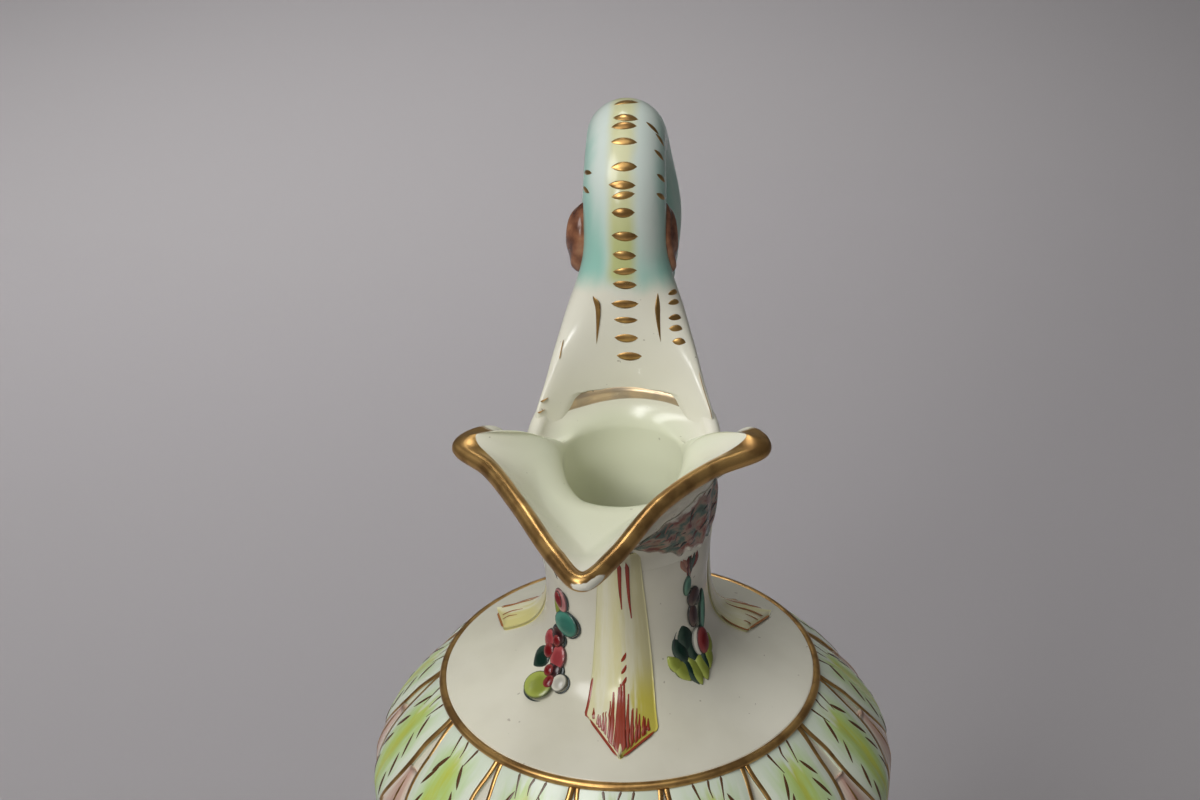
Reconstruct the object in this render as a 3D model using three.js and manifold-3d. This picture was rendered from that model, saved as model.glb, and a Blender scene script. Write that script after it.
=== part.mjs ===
// A porcelain ewer jug: pedestal foot, ovoid body, neck with a flat collar, pinched pouring mouth and a high
// handle. Applied relief: shoulder leaves and bracts, pendant leaves, garlands and fruit drops on the neck.
// Millimetres, +Z up. The foot stands on z = 0 about the Z axis; the lip pours to -Y, the handle is at +Y.
import * as THREE from 'three';
import { mergeVertices } from 'three/addons/utils/BufferGeometryUtils.js';
import Module from 'manifold-3d';

const wasm = await Module();
wasm.setup();

// Seams
const seatGap = 0.3;              // slip seam between luted pieces

// Foot
const footHeight = 52;            // table to the seam under the body
const footRadius = 42;            // outside of the standing rim
const footRimHeight = 9;          // upright edge of the foot
const footRimRound = 1.5;         // rounding on top of that edge
const footRingWidth = 6;          // flat ring that touches the table
const footWall = 5;               // clay thickness of the hollow foot
const stemRadius = 13;            // narrowest part, where foot and body meet
const knopBulge = 5;              // how far the ring under the seam stands out
const knopHeight = 8;             // height of that ring
const tenonRadius = 7;            // peg under the body
const tenonLength = 8;            // how deep the peg stands in the foot

// Body
const bellyRise = 123;            // seam under the body to the widest part
const shoulderRise = 25;          // widest part to the collar's edge
const shoulderWidth = 18;         // how far the belly stands out past the collar, without the leaves
const bodyWall = 4;               // clay thickness
const bodyFloor = 20;             // solid clay over the seam under the body

// Neck and collar
const collarRadius = 44;          // edge of the flat white collar
const collarEdge = 1.4;           // thickness of the collar at its edge
const collarPitch = 4;            // rise of the body's seat under the collar
const collarFlare = 6.3;          // height of the flare where the neck leaves the collar
const boreRadius = 13.2;          // inside of the neck
const sleeveWall = 3;             // spigot of the neck inside the mouth
const sleeveHeight = 19;          // height of that spigot
const neckWaist = 1;              // how far the neck draws in below the mouth
const neckRise = 42;              // collar's edge to the mouth's seam
const neckSwell = 4;              // length of the swelling under that seam
const plugRadius = 25;            // ring of the neck inside the body's opening
const plugDepth = 7;              // how deep that ring stands in the body

// Mouth: places on the rim's mid line, given as side, forward of the axis and height over the mouth's seam
const mouthSeatWall = 3.5;        // clay outside the neck's spigot
const mouthWall = 4;              // clay thickness at the rim
const lipReach = 53.2;            // pouring tip, forward
const lipRise = 19.2;             // pouring tip, height
const lipSkew = 5.6;              // sideways lean of the hand-pinched lip
const cheekSpread = 15.5;         // half width of the lip at the cheeks
const cheekReach = 30;            // cheeks, forward
const cheekRise = 24;             // cheeks, height
const lobeSpread = 34;            // half width over the two side lobes
const lobeReach = 9;              // lobes, forward
const lobeRise = 26;              // lobes, height
const lobeCrest = 27;             // highest line behind each lobe
const rootSpread = 22;            // half width where the rim runs into the handle
const rootRise = 21.5;            // that place's height
const backReach = 18.5;           // rim at the back, behind the axis
const backRise = 27;              // rim at the back, height

// Handle
const saddleWidth = 20.5;         // half width of the saddle on the mouth
const saddleDepth = 6;            // half depth of the saddle
const saddleWrap = 14;            // how far the saddle's sides bend forward round the mouth
const saddleDrop = 20;            // how far the saddle reaches down from the mouth's back rim
const saddleLip = 2;              // thickness of the saddle at its lower end
const saddleRise = 28;            // mouth's back rim up to the column
const columnLean = 11;            // column behind the mouth's back rim
const columnWidth = 10;           // half width of the column
const columnDepth = 9.5;          // half depth of the column
const archRise = 51.4;            // mouth's back rim to the middle of the arch
const archReach = 44;             // middle of the arch behind the axis
const archWidth = 9.2;            // half width of the arch
const limbReach = 55;             // middle of the rear limb behind the axis
const limbRise = 26;              // mouth's back rim to the rear limb's swelling
const limbWidth = 12;             // half width of that swelling
const tailInset = 9;              // where the handle lands, inside the collar's edge
const tailWidth = 7.5;            // half width there
const tailDepth = 6.5;            // half depth there
const tailFlare = 2.5;            // widening where it meets the collar

// Scrolls on the sides of the column
const scrollRadius = 9;
const scrollTube = 1.7;           // half thickness of a scroll
const scrollTurns = 1.4;
const scrollRise = 29;            // mouth's back rim to the middle of the scrolls

// Applied relief
const hollowGap = 0.5;            // slip seam behind relief that lies in a hollow curve
const leafCount = 14;
const leafLength = 37;            // along the shoulder, from the collar down
const leafFullShare = 0.3;        // a leaf keeps its full width over this share of its length
const leafThickness = 1.6;
const leafParting = 0.35;         // half the groove between neighbouring leaves
const bractLength = 34;           // pointed leaves that show in the gaps
const bractThickness = 1;
const bractFirstShare = 0.42;     // a bract begins this share down the leaves
const bractGirth = 0.62;          // a bract's widest part against half the pitch
const pendantCount = 3;
const pendantTopWidth = 6.2;      // half width under the mouth
const pendantWidth = 8.6;         // half width at the corners
const pendantCorner = 11.5;       // corners to the tip
const pendantTip = 7;             // tip to the collar's edge
const pendantThickness = 2.4;
const garlandThickness = 2.2;
const garlandBand = 9;            // width of a garland
const garlandLevel = 13;          // up the mouth's wall from its seam
const garlandSag = 4;             // how far its middle hangs
const garlandKnots = 6;           // thick and thin places along it
const garlandFirstShare = 0.081;  // where it starts and ends, in shares of the way round the rim from the lip
const garlandLastShare = 0.3125;
const dropAngleRight = 41;        // fruit drops, degrees from the lip
const dropAngleLeft = 51;
const dropFruits = 7;
const fruitSize = 3.4;            // half size of a fruit
const fruitDepth = 1.8;           // half thickness of a fruit
const fruitStep = 4.7;            // from fruit to fruit
const fruitStagger = 1.5;         // how far they stand left and right in turn

// Facets
const roundSegments = 36;         // round the turned pieces
const rimSteps = 60;              // round the mouth

// Colours of the glaze and paint
const ivory = 0xefece0;
const leafGreen = 0xc9d9a0;
const bractPink = 0xd9b3a4;
const paleYellow = 0xe6dfa0;
const seaGreen = 0xa9d3c6;
const scrollBrown = 0x8a5638;
const garlandRed = 0x8c4a45;
const fruitRed = 0xb04a55;

// Levels and radii that follow from these sizes
const bodySeam = footHeight + seatGap;
const bellyHeight = bodySeam + bellyRise;
const bellyRadius = collarRadius + shoulderWidth;
const shoulderHeight = bellyHeight + shoulderRise;
const openingRadius = plugRadius + seatGap;
const collarHeight = shoulderHeight + seatGap;
const collarTop = collarHeight + collarEdge;
const neckTop = collarHeight + neckRise;
const sleeveRadius = boreRadius + sleeveWall;
const sleeveTop = neckTop + sleeveHeight;
const rebateRadius = sleeveRadius + seatGap;
const neckTopRadius = rebateRadius + mouthSeatWall;
const neckRadius = neckTopRadius - neckWaist;
const mouthSeam = neckTop + seatGap;
const backRim = mouthSeam + backRise;

const up = new THREE.Vector3(0, 0, 1);
const jug = new THREE.Group();

// Shared shape helpers

function addPiece(name, geometry, color, roughness = 0.22) {
  const material = new THREE.MeshStandardMaterial({ color, roughness, metalness: 0 });
  const piece = new THREE.Mesh(geometry, material);
  piece.name = name;
  jug.add(piece);
}

function signedVolume(points, faces) {
  let sum = 0;
  for (const [a, b, c] of faces) {
    sum += points[a].dot(new THREE.Vector3().crossVectors(points[b], points[c]));
  }
  return sum / 6;
}

function closedMesh(points, faces) {
  const outward = signedVolume(points, faces) > 0;
  const geometry = new THREE.BufferGeometry();
  geometry.setAttribute('position', new THREE.Float32BufferAttribute(points.flatMap((p) => p.toArray()), 3));
  geometry.setIndex(faces.flatMap(([a, b, c]) => (outward ? [a, b, c] : [a, c, b])));
  return geometry;
}

// A body lofted through closed loops of equal length, capped at both ends or joined into a ring.
function loft(loops, ring = false) {
  const size = loops[0].length;
  const points = loops.flat();
  const faces = [];
  const spans = ring ? loops.length : loops.length - 1;
  for (let i = 0; i < spans; i += 1) {
    const near = i * size;
    const far = ((i + 1) % loops.length) * size;
    for (let j = 0; j < size; j += 1) {
      const k = (j + 1) % size;
      faces.push([near + j, far + j, far + k], [near + j, far + k, near + k]);
    }
  }
  if (!ring) {
    for (const [start, turn] of [[0, 1], [(loops.length - 1) * size, -1]]) {
      const middle = new THREE.Vector3();
      for (let j = 0; j < size; j += 1) {
        middle.addScaledVector(points[start + j], 1 / size);
      }
      const hub = points.push(middle) - 1;
      for (let j = 0; j < size; j += 1) {
        const k = (j + 1) % size;
        faces.push(turn > 0 ? [hub, start + j, start + k] : [hub, start + k, start + j]);
      }
    }
  }
  return closedMesh(points, faces);
}

// A plate laid on a surface: place(row, column, top) gives its points, row and column running from 0 to 1.
function plate(rows, columns, place) {
  const points = [];
  const faces = [];
  const width = columns + 1;
  const layer = (rows + 1) * width;
  for (const top of [true, false]) {
    for (let i = 0; i <= rows; i += 1) {
      for (let j = 0; j <= columns; j += 1) {
        points.push(place(i / rows, j / columns, top));
      }
    }
  }
  const wall = (a, b) => faces.push([a, a + layer, b + layer], [a, b + layer, b]);
  for (let i = 0; i < rows; i += 1) {
    for (let j = 0; j < columns; j += 1) {
      const a = i * width + j;
      const b = a + width;
      faces.push([a, b, b + 1], [a, b + 1, a + 1]);
      faces.push([a + layer, b + 1 + layer, b + layer], [a + layer, a + 1 + layer, b + 1 + layer]);
    }
    wall(i * width, (i + 1) * width);
    wall((i + 1) * width + columns, i * width + columns);
  }
  for (let j = 0; j < columns; j += 1) {
    wall(j + 1, j);
    wall(rows * width + j, rows * width + j + 1);
  }
  return closedMesh(points, faces);
}

// The same body with one vertex at each place.
function welded(geometry) {
  const bare = geometry.clone();
  bare.deleteAttribute('normal');
  bare.deleteAttribute('uv');
  return mergeVertices(bare, 1e-4);
}

function toSolid(geometry) {
  const body = welded(geometry);
  const vertProperties = new Float32Array(body.attributes.position.array);
  const triVerts = new Uint32Array(body.index.array);
  return new wasm.Manifold(new wasm.Mesh({ numProp: 3, vertProperties, triVerts }));
}

function fromSolid(solid) {
  const mesh = solid.getMesh();
  const geometry = new THREE.BufferGeometry();
  geometry.setAttribute('position', new THREE.Float32BufferAttribute(Array.from(mesh.vertProperties), 3));
  geometry.setIndex(Array.from(mesh.triVerts));
  return geometry;
}

// A lathe body about Z, from profile points (radius, height).
function revolve(profile) {
  const bare = welded(new THREE.LatheGeometry(profile, roundSegments).rotateX(Math.PI / 2));
  const points = [];
  for (let i = 0; i < bare.attributes.position.count; i += 1) {
    points.push(new THREE.Vector3().fromBufferAttribute(bare.attributes.position, i));
  }
  const faces = [];
  const index = bare.index.array;
  for (let i = 0; i < index.length; i += 3) {
    const face = [index[i], index[i + 1], index[i + 2]];
    if (new Set(face).size === 3) {
      faces.push(face);
    }
  }
  return closedMesh(points, faces);
}

// Angles run round the jug from the lip: 0 is the front, a quarter turn is +X.
function atRadius(radius, angle, height) {
  return new THREE.Vector3(radius * Math.sin(angle), -radius * Math.cos(angle), height);
}

// A point on a revolved surface: a distance along its outline, an angle round it, and a lift off it.
function onOutline(outline, along, angle, lift) {
  const share = along / outline.getLength();
  const point = outline.getPointAt(share);
  const tangent = outline.getTangentAt(share);
  return atRadius(point.x + tangent.y * lift, angle, point.y - tangent.x * lift);
}

function blend(a, b, t) {
  return a + (b - a) * t;
}

// Points along an outline of (radius, height), lifted off it outward.
function outlinePoints(outline, count, lift = 0) {
  const points = [];
  for (let i = 0; i <= count; i += 1) {
    const point = outline.getPointAt(i / count);
    const tangent = outline.getTangentAt(i / count);
    points.push(new THREE.Vector2(point.x + tangent.y * lift, point.y - tangent.x * lift));
  }
  return points;
}

// Body: the outline runs from the stem over the belly and shoulder to the opening under the collar.

const bodyOutline = new THREE.Path();
bodyOutline.moveTo(stemRadius, bodySeam);
bodyOutline.bezierCurveTo(
  stemRadius, bodySeam + bodyFloor,
  bellyRadius, blend(bodySeam, bellyHeight, 0.4),
  bellyRadius, bellyHeight,
);
bodyOutline.bezierCurveTo(
  bellyRadius, blend(bellyHeight, shoulderHeight, 0.25),
  blend(collarRadius, bellyRadius, 0.5), blend(bellyHeight, shoulderHeight, 0.64),
  collarRadius, shoulderHeight,
);
const collarAlong = bodyOutline.getLength();

function makeBody() {
  const outside = outlinePoints(bodyOutline, 13);
  const floorHeight = bodySeam + bodyFloor;
  const hollow = outlinePoints(bodyOutline, 13, -bodyWall).filter((p) => p.y > floorHeight + bodyWall);
  const openingTop = shoulderHeight + collarPitch;
  const peg = bodySeam - tenonLength;
  return revolve([
    new THREE.Vector2(0, peg),
    new THREE.Vector2(tenonRadius, peg),
    new THREE.Vector2(tenonRadius, bodySeam),
    ...outside,
    new THREE.Vector2(openingRadius, openingTop),
    new THREE.Vector2(openingRadius, openingTop - bodyWall),
    ...hollow.reverse(),
    new THREE.Vector2(0, floorHeight),
  ]);
}
addPiece('body', makeBody(), ivory);

// Foot: knop, trumpet and standing rim, hollow underneath.

function makeFoot() {
  const socketRadius = tenonRadius + seatGap;
  const socketFloor = footHeight - tenonLength;
  const trumpetTop = footHeight - knopHeight;
  const knopPull = stemRadius + knopBulge * 4 / 3;
  const outside = new THREE.Path();
  outside.moveTo(stemRadius, footHeight);
  outside.bezierCurveTo(knopPull, footHeight, knopPull, trumpetTop, stemRadius, trumpetTop);
  outside.bezierCurveTo(
    stemRadius, blend(trumpetTop, footRimHeight, 0.75),
    blend(stemRadius, footRadius, 0.55), footRimHeight + footWall,
    footRadius - footRimRound, footRimHeight,
  );
  outside.quadraticCurveTo(footRadius, footRimHeight, footRadius, footRimHeight - footRimRound);
  const ringInside = footRadius - footRingWidth;
  const hollowTop = socketFloor - footWall;
  const hollow = new THREE.Path();
  hollow.moveTo(ringInside, 0);
  hollow.bezierCurveTo(
    ringInside, footRimHeight,
    stemRadius, footRimHeight,
    stemRadius - footWall, hollowTop,
  );
  return revolve([
    new THREE.Vector2(0, socketFloor),
    new THREE.Vector2(socketRadius, socketFloor),
    new THREE.Vector2(socketRadius, footHeight),
    ...outside.getPoints(4),
    new THREE.Vector2(footRadius, 0),
    ...hollow.getPoints(4),
    new THREE.Vector2(0, hollowTop),
  ]);
}
addPiece('foot', makeFoot(), ivory);

// Neck: the outline runs from the collar's edge up the flare to the mouth's seam.

const neckOutline = new THREE.Path();
neckOutline.moveTo(collarRadius, collarTop);
neckOutline.bezierCurveTo(
  blend(neckRadius, collarRadius, 0.3), collarTop + collarFlare,
  neckRadius, blend(collarHeight, neckTop - neckSwell, 0.35),
  neckRadius, neckTop - neckSwell,
);
neckOutline.quadraticCurveTo(neckRadius, neckTop, neckTopRadius, neckTop);
const neckLength = neckOutline.getLength();

function makeNeck() {
  const plugTop = collarHeight + collarPitch;
  return revolve([
    new THREE.Vector2(sleeveRadius, sleeveTop),
    new THREE.Vector2(sleeveRadius, neckTop),
    ...outlinePoints(neckOutline, 16).reverse(),
    new THREE.Vector2(collarRadius, collarHeight),
    new THREE.Vector2(plugRadius, plugTop),
    new THREE.Vector2(plugRadius, plugTop - plugDepth),
    new THREE.Vector2(plugRadius - sleeveWall, plugTop - plugDepth),
    new THREE.Vector2(boreRadius, plugTop + plugDepth),
    new THREE.Vector2(boreRadius, sleeveTop),
    new THREE.Vector2(sleeveRadius, sleeveTop),
  ]);
}
addPiece('neck', makeNeck(), ivory);

// The neck's outer form, filled and grown by the seam, which the handle's tail is cut to.
function neckBlank() {
  return toSolid(revolve([
    new THREE.Vector2(0, neckTop),
    ...outlinePoints(neckOutline, 16, seatGap).reverse(),
    new THREE.Vector2(collarRadius, bellyHeight),
    new THREE.Vector2(0, bellyHeight),
  ]));
}

// Mouth: stations round one half of the rim, from the lip to the back. Each gives the place on the rim's mid
// line, the tilt of the flaring wall there and the angle on the neck where that wall grows from, in degrees.

const rimStations = [
  { side: 0, forward: lipReach, rise: lipRise, flare: 12, grows: 0 },
  { side: cheekSpread * 0.4, forward: blend(cheekReach, lipReach, 0.66), rise: blend(lipRise, cheekRise, 0.2),
    flare: 14, grows: 14 },
  { side: cheekSpread, forward: cheekReach, rise: cheekRise, flare: 16, grows: 38 },
  { side: blend(cheekSpread, lobeSpread, 0.5), forward: blend(cheekReach, lobeReach, 0.6),
    rise: blend(cheekRise, lobeRise, 0.7), flare: 4, grows: 62 },
  { side: lobeSpread, forward: lobeReach, rise: lobeRise, flare: -24, grows: 88 },
  { side: blend(rootSpread, lobeSpread, 0.62), forward: lobeReach * 0.2, rise: lobeCrest,
    flare: 12, grows: 103 },
  { side: rootSpread, forward: lobeReach * -0.2, rise: rootRise, flare: 50, grows: 118 },
  { side: rootSpread * 0.8, forward: blend(lobeReach * -0.2, -backReach, 0.65),
    rise: blend(rootRise, backRise, 0.5), flare: 76, grows: 146 },
  { side: 0, forward: -backReach, rise: backRise, flare: 80, grows: 180 },
];

function leanOfLip(forward) {
  return -lipSkew * THREE.MathUtils.smoothstep(forward, -lobeReach / 2, cheekReach);
}

function rimCurves() {
  const left = rimStations.slice(1, -1).reverse();
  const all = [...rimStations.map((s) => [s, 1]), ...left.map((s) => [s, -1])];
  const places = all.map(([s, hand]) => (
    new THREE.Vector3(hand * s.side + leanOfLip(s.forward), -s.forward, mouthSeam + s.rise)
  ));
  const tilts = all.map(([s, hand]) => {
    const angle = THREE.MathUtils.degToRad(s.grows) * hand;
    return new THREE.Vector3(THREE.MathUtils.degToRad(s.flare), Math.sin(angle), Math.cos(angle));
  });
  return {
    place: new THREE.CatmullRomCurve3(places, true, 'centripetal'),
    tilt: new THREE.CatmullRomCurve3(tilts, true, 'catmullrom'),
  };
}
const rim = rimCurves();

// The wall of the mouth at a share of the way round the rim: its outer and inner curves and the rim's nose.
function mouthWallAt(share, lift = 0) {
  const place = rim.place.getPoint(share);
  const tilt = rim.tilt.getPoint(share);
  const angle = Math.atan2(tilt.y, tilt.z);
  const along = rim.place.getTangent(share);
  const flare = new THREE.Vector3(along.y, -along.x, 0).normalize().multiplyScalar(Math.cos(tilt.x))
    .addScaledVector(up, Math.sin(tilt.x));
  const across = new THREE.Vector3().crossVectors(flare, along).normalize();
  const half = mouthWall / 2 + lift;
  const outerEdge = place.clone().addScaledVector(across, -half);
  const innerEdge = place.clone().addScaledVector(across, half);
  const outerSeat = atRadius(neckTopRadius + lift, angle, mouthSeam - lift);
  const innerSeat = atRadius(boreRadius, angle, sleeveTop + seatGap);
  const outerReach = outerSeat.distanceTo(outerEdge);
  const innerReach = innerSeat.distanceTo(innerEdge);
  const funnel = atRadius(1, angle, 1).normalize();
  const outer = new THREE.CubicBezierCurve3(
    outerSeat,
    outerSeat.clone().addScaledVector(up, outerReach * 0.5),
    outerEdge.clone().addScaledVector(flare, -outerReach * 0.42),
    outerEdge,
  );
  const inner = new THREE.CubicBezierCurve3(
    innerEdge,
    innerEdge.clone().addScaledVector(flare, -innerReach * 0.4),
    innerSeat.clone().addScaledVector(funnel, innerReach * 0.25),
    innerSeat,
  );
  const nose = place.clone().addScaledVector(flare, half);
  return { outer, inner, nose, angle };
}

function makeMouth() {
  const loops = [];
  for (let i = 0; i < rimSteps; i += 1) {
    const wall = mouthWallAt(i / rimSteps);
    loops.push([
      ...wall.outer.getPoints(7),
      wall.nose,
      ...wall.inner.getPoints(5),
      atRadius(rebateRadius, wall.angle, sleeveTop + seatGap),
      atRadius(rebateRadius, wall.angle, mouthSeam),
    ]);
  }
  return loft(loops, true);
}
addPiece('mouth', makeMouth(), ivory);

// The mouth's outer form, filled and grown by the seam, which the handle's saddle is cut to.
function mouthBlank() {
  const walls = [];
  for (let i = 0; i < rimSteps; i += 1) {
    walls.push(mouthWallAt(i / rimSteps, seatGap));
  }
  const rings = [0, 0.2, 0.4, 0.6, 0.8, 1].map((level) => walls.map((wall) => wall.outer.getPoint(level)));
  rings.push(walls.map((wall) => wall.nose));
  rings.push(walls.map((wall) => wall.inner.getPoint(0)));
  return toSolid(loft(rings));
}

// Handle: stations from the saddle on the mouth up the column, over the arch and down the rear limb to the
// collar. Each gives the middle of the section, its half width and depth, and how far its sides bend forward.

const columnReach = backReach + columnLean;
const tailReach = collarRadius - tailInset;
const saddleReach = backReach + saddleDepth;
const handleStations = [
  { back: neckTopRadius - saddleDepth + saddleLip, height: backRim - saddleDrop,
    width: saddleWidth, depth: saddleDepth, wrap: saddleWrap * 0.72 },
  { back: blend(backReach, saddleReach, 0.6), height: backRim - saddleDrop * 0.33,
    width: saddleWidth, depth: saddleDepth, wrap: saddleWrap * 0.93 },
  { back: saddleReach, height: backRim + saddleRise * 0.15,
    width: blend(columnWidth, saddleWidth, 0.72), depth: blend(saddleDepth, columnDepth, 0.3),
    wrap: saddleWrap * 0.64 },
  { back: blend(saddleReach, columnReach, 0.5), height: backRim + saddleRise * 0.56,
    width: blend(columnWidth, saddleWidth, 0.38), depth: blend(saddleDepth, columnDepth, 0.7),
    wrap: saddleWrap * 0.28 },
  { back: columnReach, height: backRim + saddleRise,
    width: columnWidth, depth: columnDepth, wrap: 0 },
  { back: blend(columnReach, archReach, 0.32), height: backRim + blend(saddleRise, archRise, 0.7),
    width: blend(columnWidth, archWidth, 0.5), depth: columnDepth, wrap: 0 },
  { back: archReach, height: backRim + archRise,
    width: archWidth, depth: blend(columnDepth, tailDepth, 0.2), wrap: 0 },
  { back: blend(archReach, limbReach, 0.92), height: backRim + blend(limbRise, archRise, 0.62),
    width: columnWidth, depth: columnDepth, wrap: 0 },
  { back: limbReach, height: backRim + limbRise,
    width: limbWidth, depth: columnDepth, wrap: 0 },
  { back: blend(tailReach, limbReach, 0.75), height: backRim,
    width: blend(tailWidth, columnWidth, 0.5), depth: tailDepth, wrap: 0 },
  { back: blend(tailReach, limbReach, 0.36), height: blend(collarTop, backRim, 0.48),
    width: tailWidth, depth: tailDepth, wrap: 0 },
  { back: blend(tailReach, limbReach, 0.08), height: blend(collarTop, backRim, 0.2),
    width: tailWidth, depth: tailDepth, wrap: 0 },
  { back: tailReach, height: collarHeight - tailDepth / 2,
    width: tailWidth + tailFlare, depth: tailDepth + tailFlare, wrap: 0 },
];
const archStation = 6;            // place of the arch in that list

const handlePath = new THREE.CatmullRomCurve3(
  handleStations.map((s) => new THREE.Vector3(0, s.back, s.height)), false, 'centripetal',
);
const handleSizes = new THREE.CatmullRomCurve3(
  handleStations.map((s) => new THREE.Vector3(s.width, s.depth, s.wrap)), false, 'catmullrom',
);

// A point on the handle: a share of its length and a turn round its section, from +X by way of the front.
function onHandle(share, turn) {
  const along = handlePath.getTangent(share);
  const front = new THREE.Vector3(0, -along.z, along.y);
  const size = handleSizes.getPoint(share);
  const forward = size.y * Math.sin(turn) + Math.max(size.z, 0) * Math.cos(turn) ** 2;
  return handlePath.getPoint(share).addScaledVector(front, forward).setX(size.x * Math.cos(turn));
}

function makeHandle() {
  const steps = 32;
  const sides = 18;
  const loops = [];
  for (let i = 0; i <= steps; i += 1) {
    const loop = [];
    for (let j = 0; j < sides; j += 1) {
      loop.push(onHandle(i / steps, (j / sides) * 2 * Math.PI));
    }
    loops.push(loop);
  }
  return fromSolid(toSolid(loft(loops)).subtract(mouthBlank()).subtract(neckBlank()));
}
addPiece('handle', makeHandle(), seaGreen);

// Scrolls: spirals that lie on both sides of the handle's column.

// The share of the handle's length, below the arch, that lies at a given height.
function columnShareAt(height) {
  let low = 0;
  let high = archStation / (handleStations.length - 1);
  for (let i = 0; i < 40; i += 1) {
    const middle = (low + high) / 2;
    if (handlePath.getPoint(middle).z < height) {
      low = middle;
    } else {
      high = middle;
    }
  }
  return low;
}

function makeScroll(hand) {
  const steps = 22;
  const sides = 7;
  const loops = [];
  for (let i = 0; i <= steps; i += 1) {
    const along = i / steps;
    const turn = along * scrollTurns * 2 * Math.PI - Math.PI / 3;
    const radius = blend(scrollRadius - scrollTube, scrollTube * 0.9, along ** 0.8);
    const share = columnShareAt(backRim + scrollRise + radius * Math.sin(turn));
    const girth = (radius * Math.cos(turn)) / columnDepth;
    const place = (step) => onHandle(share, hand > 0 ? girth + step : Math.PI - girth - step);
    const round = place(0.01).sub(place(-0.01));
    const out = round.cross(handlePath.getTangent(share)).normalize().multiplyScalar(-hand);
    const middle = place(0).addScaledVector(out, scrollTube + 2 * seatGap);
    const inward = new THREE.Vector3(0, Math.cos(turn), -Math.sin(turn));
    inward.addScaledVector(out, -inward.dot(out)).normalize();
    const tube = scrollTube * (1 - 0.3 * along);
    const loop = [];
    for (let j = 0; j < sides; j += 1) {
      const angle = (j / sides) * 2 * Math.PI;
      loop.push(middle.clone().addScaledVector(out, tube * Math.cos(angle))
        .addScaledVector(inward, tube * Math.sin(angle)));
    }
    loops.push(loop);
  }
  return loft(loops);
}
addPiece('handle_scroll_left', makeScroll(-1), scrollBrown);
addPiece('handle_scroll_right', makeScroll(1), scrollBrown);

// Shoulder leaves and the bracts between them, laid on the body below the collar.

const halfPitch = Math.PI / leafCount;
const leafTop = collarAlong - 2 * seatGap;

function bodyRadiusAt(along) {
  return bodyOutline.getPointAt(along / bodyOutline.getLength()).x;
}

// Half of a leaf's angle, a distance below the collar.
function leafHalfAngle(below) {
  const full = halfPitch - leafParting / bodyRadiusAt(leafTop - below);
  const taper = Math.max(Math.min(below / leafLength, 0.995) - leafFullShare, 0) / (1 - leafFullShare);
  return full * Math.cos(taper * Math.PI / 2) ** 0.8;
}

function makeShoulderLeaf(angle) {
  return plate(6, 4, (row, column, top) => {
    const below = row * leafLength;
    const across = column * 2 - 1;
    const swell = Math.min(0.5 + 2 * row, 1) * (1 - 0.3 * row);
    const rib = leafThickness * swell * (1 - 0.45 * across ** 2);
    const turn = angle + across * leafHalfAngle(below);
    return onOutline(bodyOutline, leafTop - below, turn, seatGap + (top ? rib : 0));
  });
}

function makeBract(angle) {
  const first = leafLength * bractFirstShare;
  return plate(5, 2, (row, column, top) => {
    const below = first + row * bractLength;
    const across = column * 2 - 1;
    const room = halfPitch - leafHalfAngle(below) - leafParting / bodyRadiusAt(leafTop - below);
    const own = halfPitch * bractGirth * Math.sqrt(1 - Math.min(row, 0.995));
    const half = below < leafLength ? Math.min(room, own) : own;
    const rib = bractThickness * (1 - 0.4 * Math.abs(across));
    return onOutline(bodyOutline, leafTop - below, angle + across * half, seatGap + (top ? rib : 0));
  });
}

for (let i = 0; i < leafCount; i += 1) {
  const number = String(i + 1).padStart(2, '0');
  addPiece(`shoulder_leaf_${number}`, makeShoulderLeaf(2 * halfPitch * i), leafGreen);
  addPiece(`shoulder_bract_${number}`, makeBract(2 * halfPitch * (i + 0.5)), bractPink);
}

// Pendant leaves on the neck, from under the mouth to a point on the collar.

function makePendant(angle) {
  const length = neckLength - pendantTip - seatGap;
  const cornerShare = pendantCorner / length;
  return plate(13, 4, (row, column, top) => {
    const across = column * 2 - 1;
    const toTip = Math.max(1 - row / cornerShare, 0);
    const toTop = Math.max((row - cornerShare) / (1 - cornerShare), 0);
    const half = blend(pendantWidth, pendantTopWidth, toTop) * (1 - 0.97 * toTip);
    const along = pendantTip + row * length;
    const radius = neckOutline.getPointAt(along / neckLength).x;
    const ridge = pendantThickness * (1 - 0.5 * Math.abs(across)) * (1 - 0.4 * toTip);
    return onOutline(neckOutline, along, angle + (across * half) / radius, hollowGap + (top ? ridge : 0));
  });
}

['front', 'right', 'left'].forEach((side, i) => {
  addPiece(`pendant_leaf_${side}`, makePendant((i * 2 * Math.PI) / pendantCount), paleYellow);
});

// Garlands under the rim, hung on the outside of the mouth from beside the lip to the lobes.

// A point on the mouth's outer wall: a share of the way round, a distance up from the seam, a lift off it.
function onMouth(share, rise, lift) {
  const curve = mouthWallAt(share).outer;
  const level = rise / curve.getLength();
  const point = curve.getPointAt(level);
  const round = mouthWallAt(share + 0.002).outer.getPointAt(level).sub(point);
  const out = round.cross(curve.getTangentAt(level)).normalize();
  return point.addScaledVector(out, lift);
}

function makeGarland(hand) {
  return plate(14, 4, (row, column, top) => {
    const across = column * 2 - 1;
    const fromLip = blend(garlandFirstShare, garlandLastShare, row);
    const share = hand > 0 ? fromLip : 1 - fromLip;
    const hang = garlandSag * Math.sin(row * Math.PI);
    const ends = Math.sin(blend(0.06, 0.94, row) * Math.PI) ** 0.4;
    const knots = 0.75 + 0.25 * Math.cos(row * garlandKnots * 2 * Math.PI);
    const bulge = garlandThickness * knots * ends * Math.sqrt(1 - 0.8 * across ** 2);
    const level = garlandLevel - hang + (across * ends * garlandBand) / 2;
    return onMouth(share, level, hollowGap + (top ? bulge : 0));
  });
}
addPiece('garland_right', makeGarland(1), garlandRed);
addPiece('garland_left', makeGarland(-1), garlandRed);

// Fruit drops: overlapping fruits strung down the neck below each garland.

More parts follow.
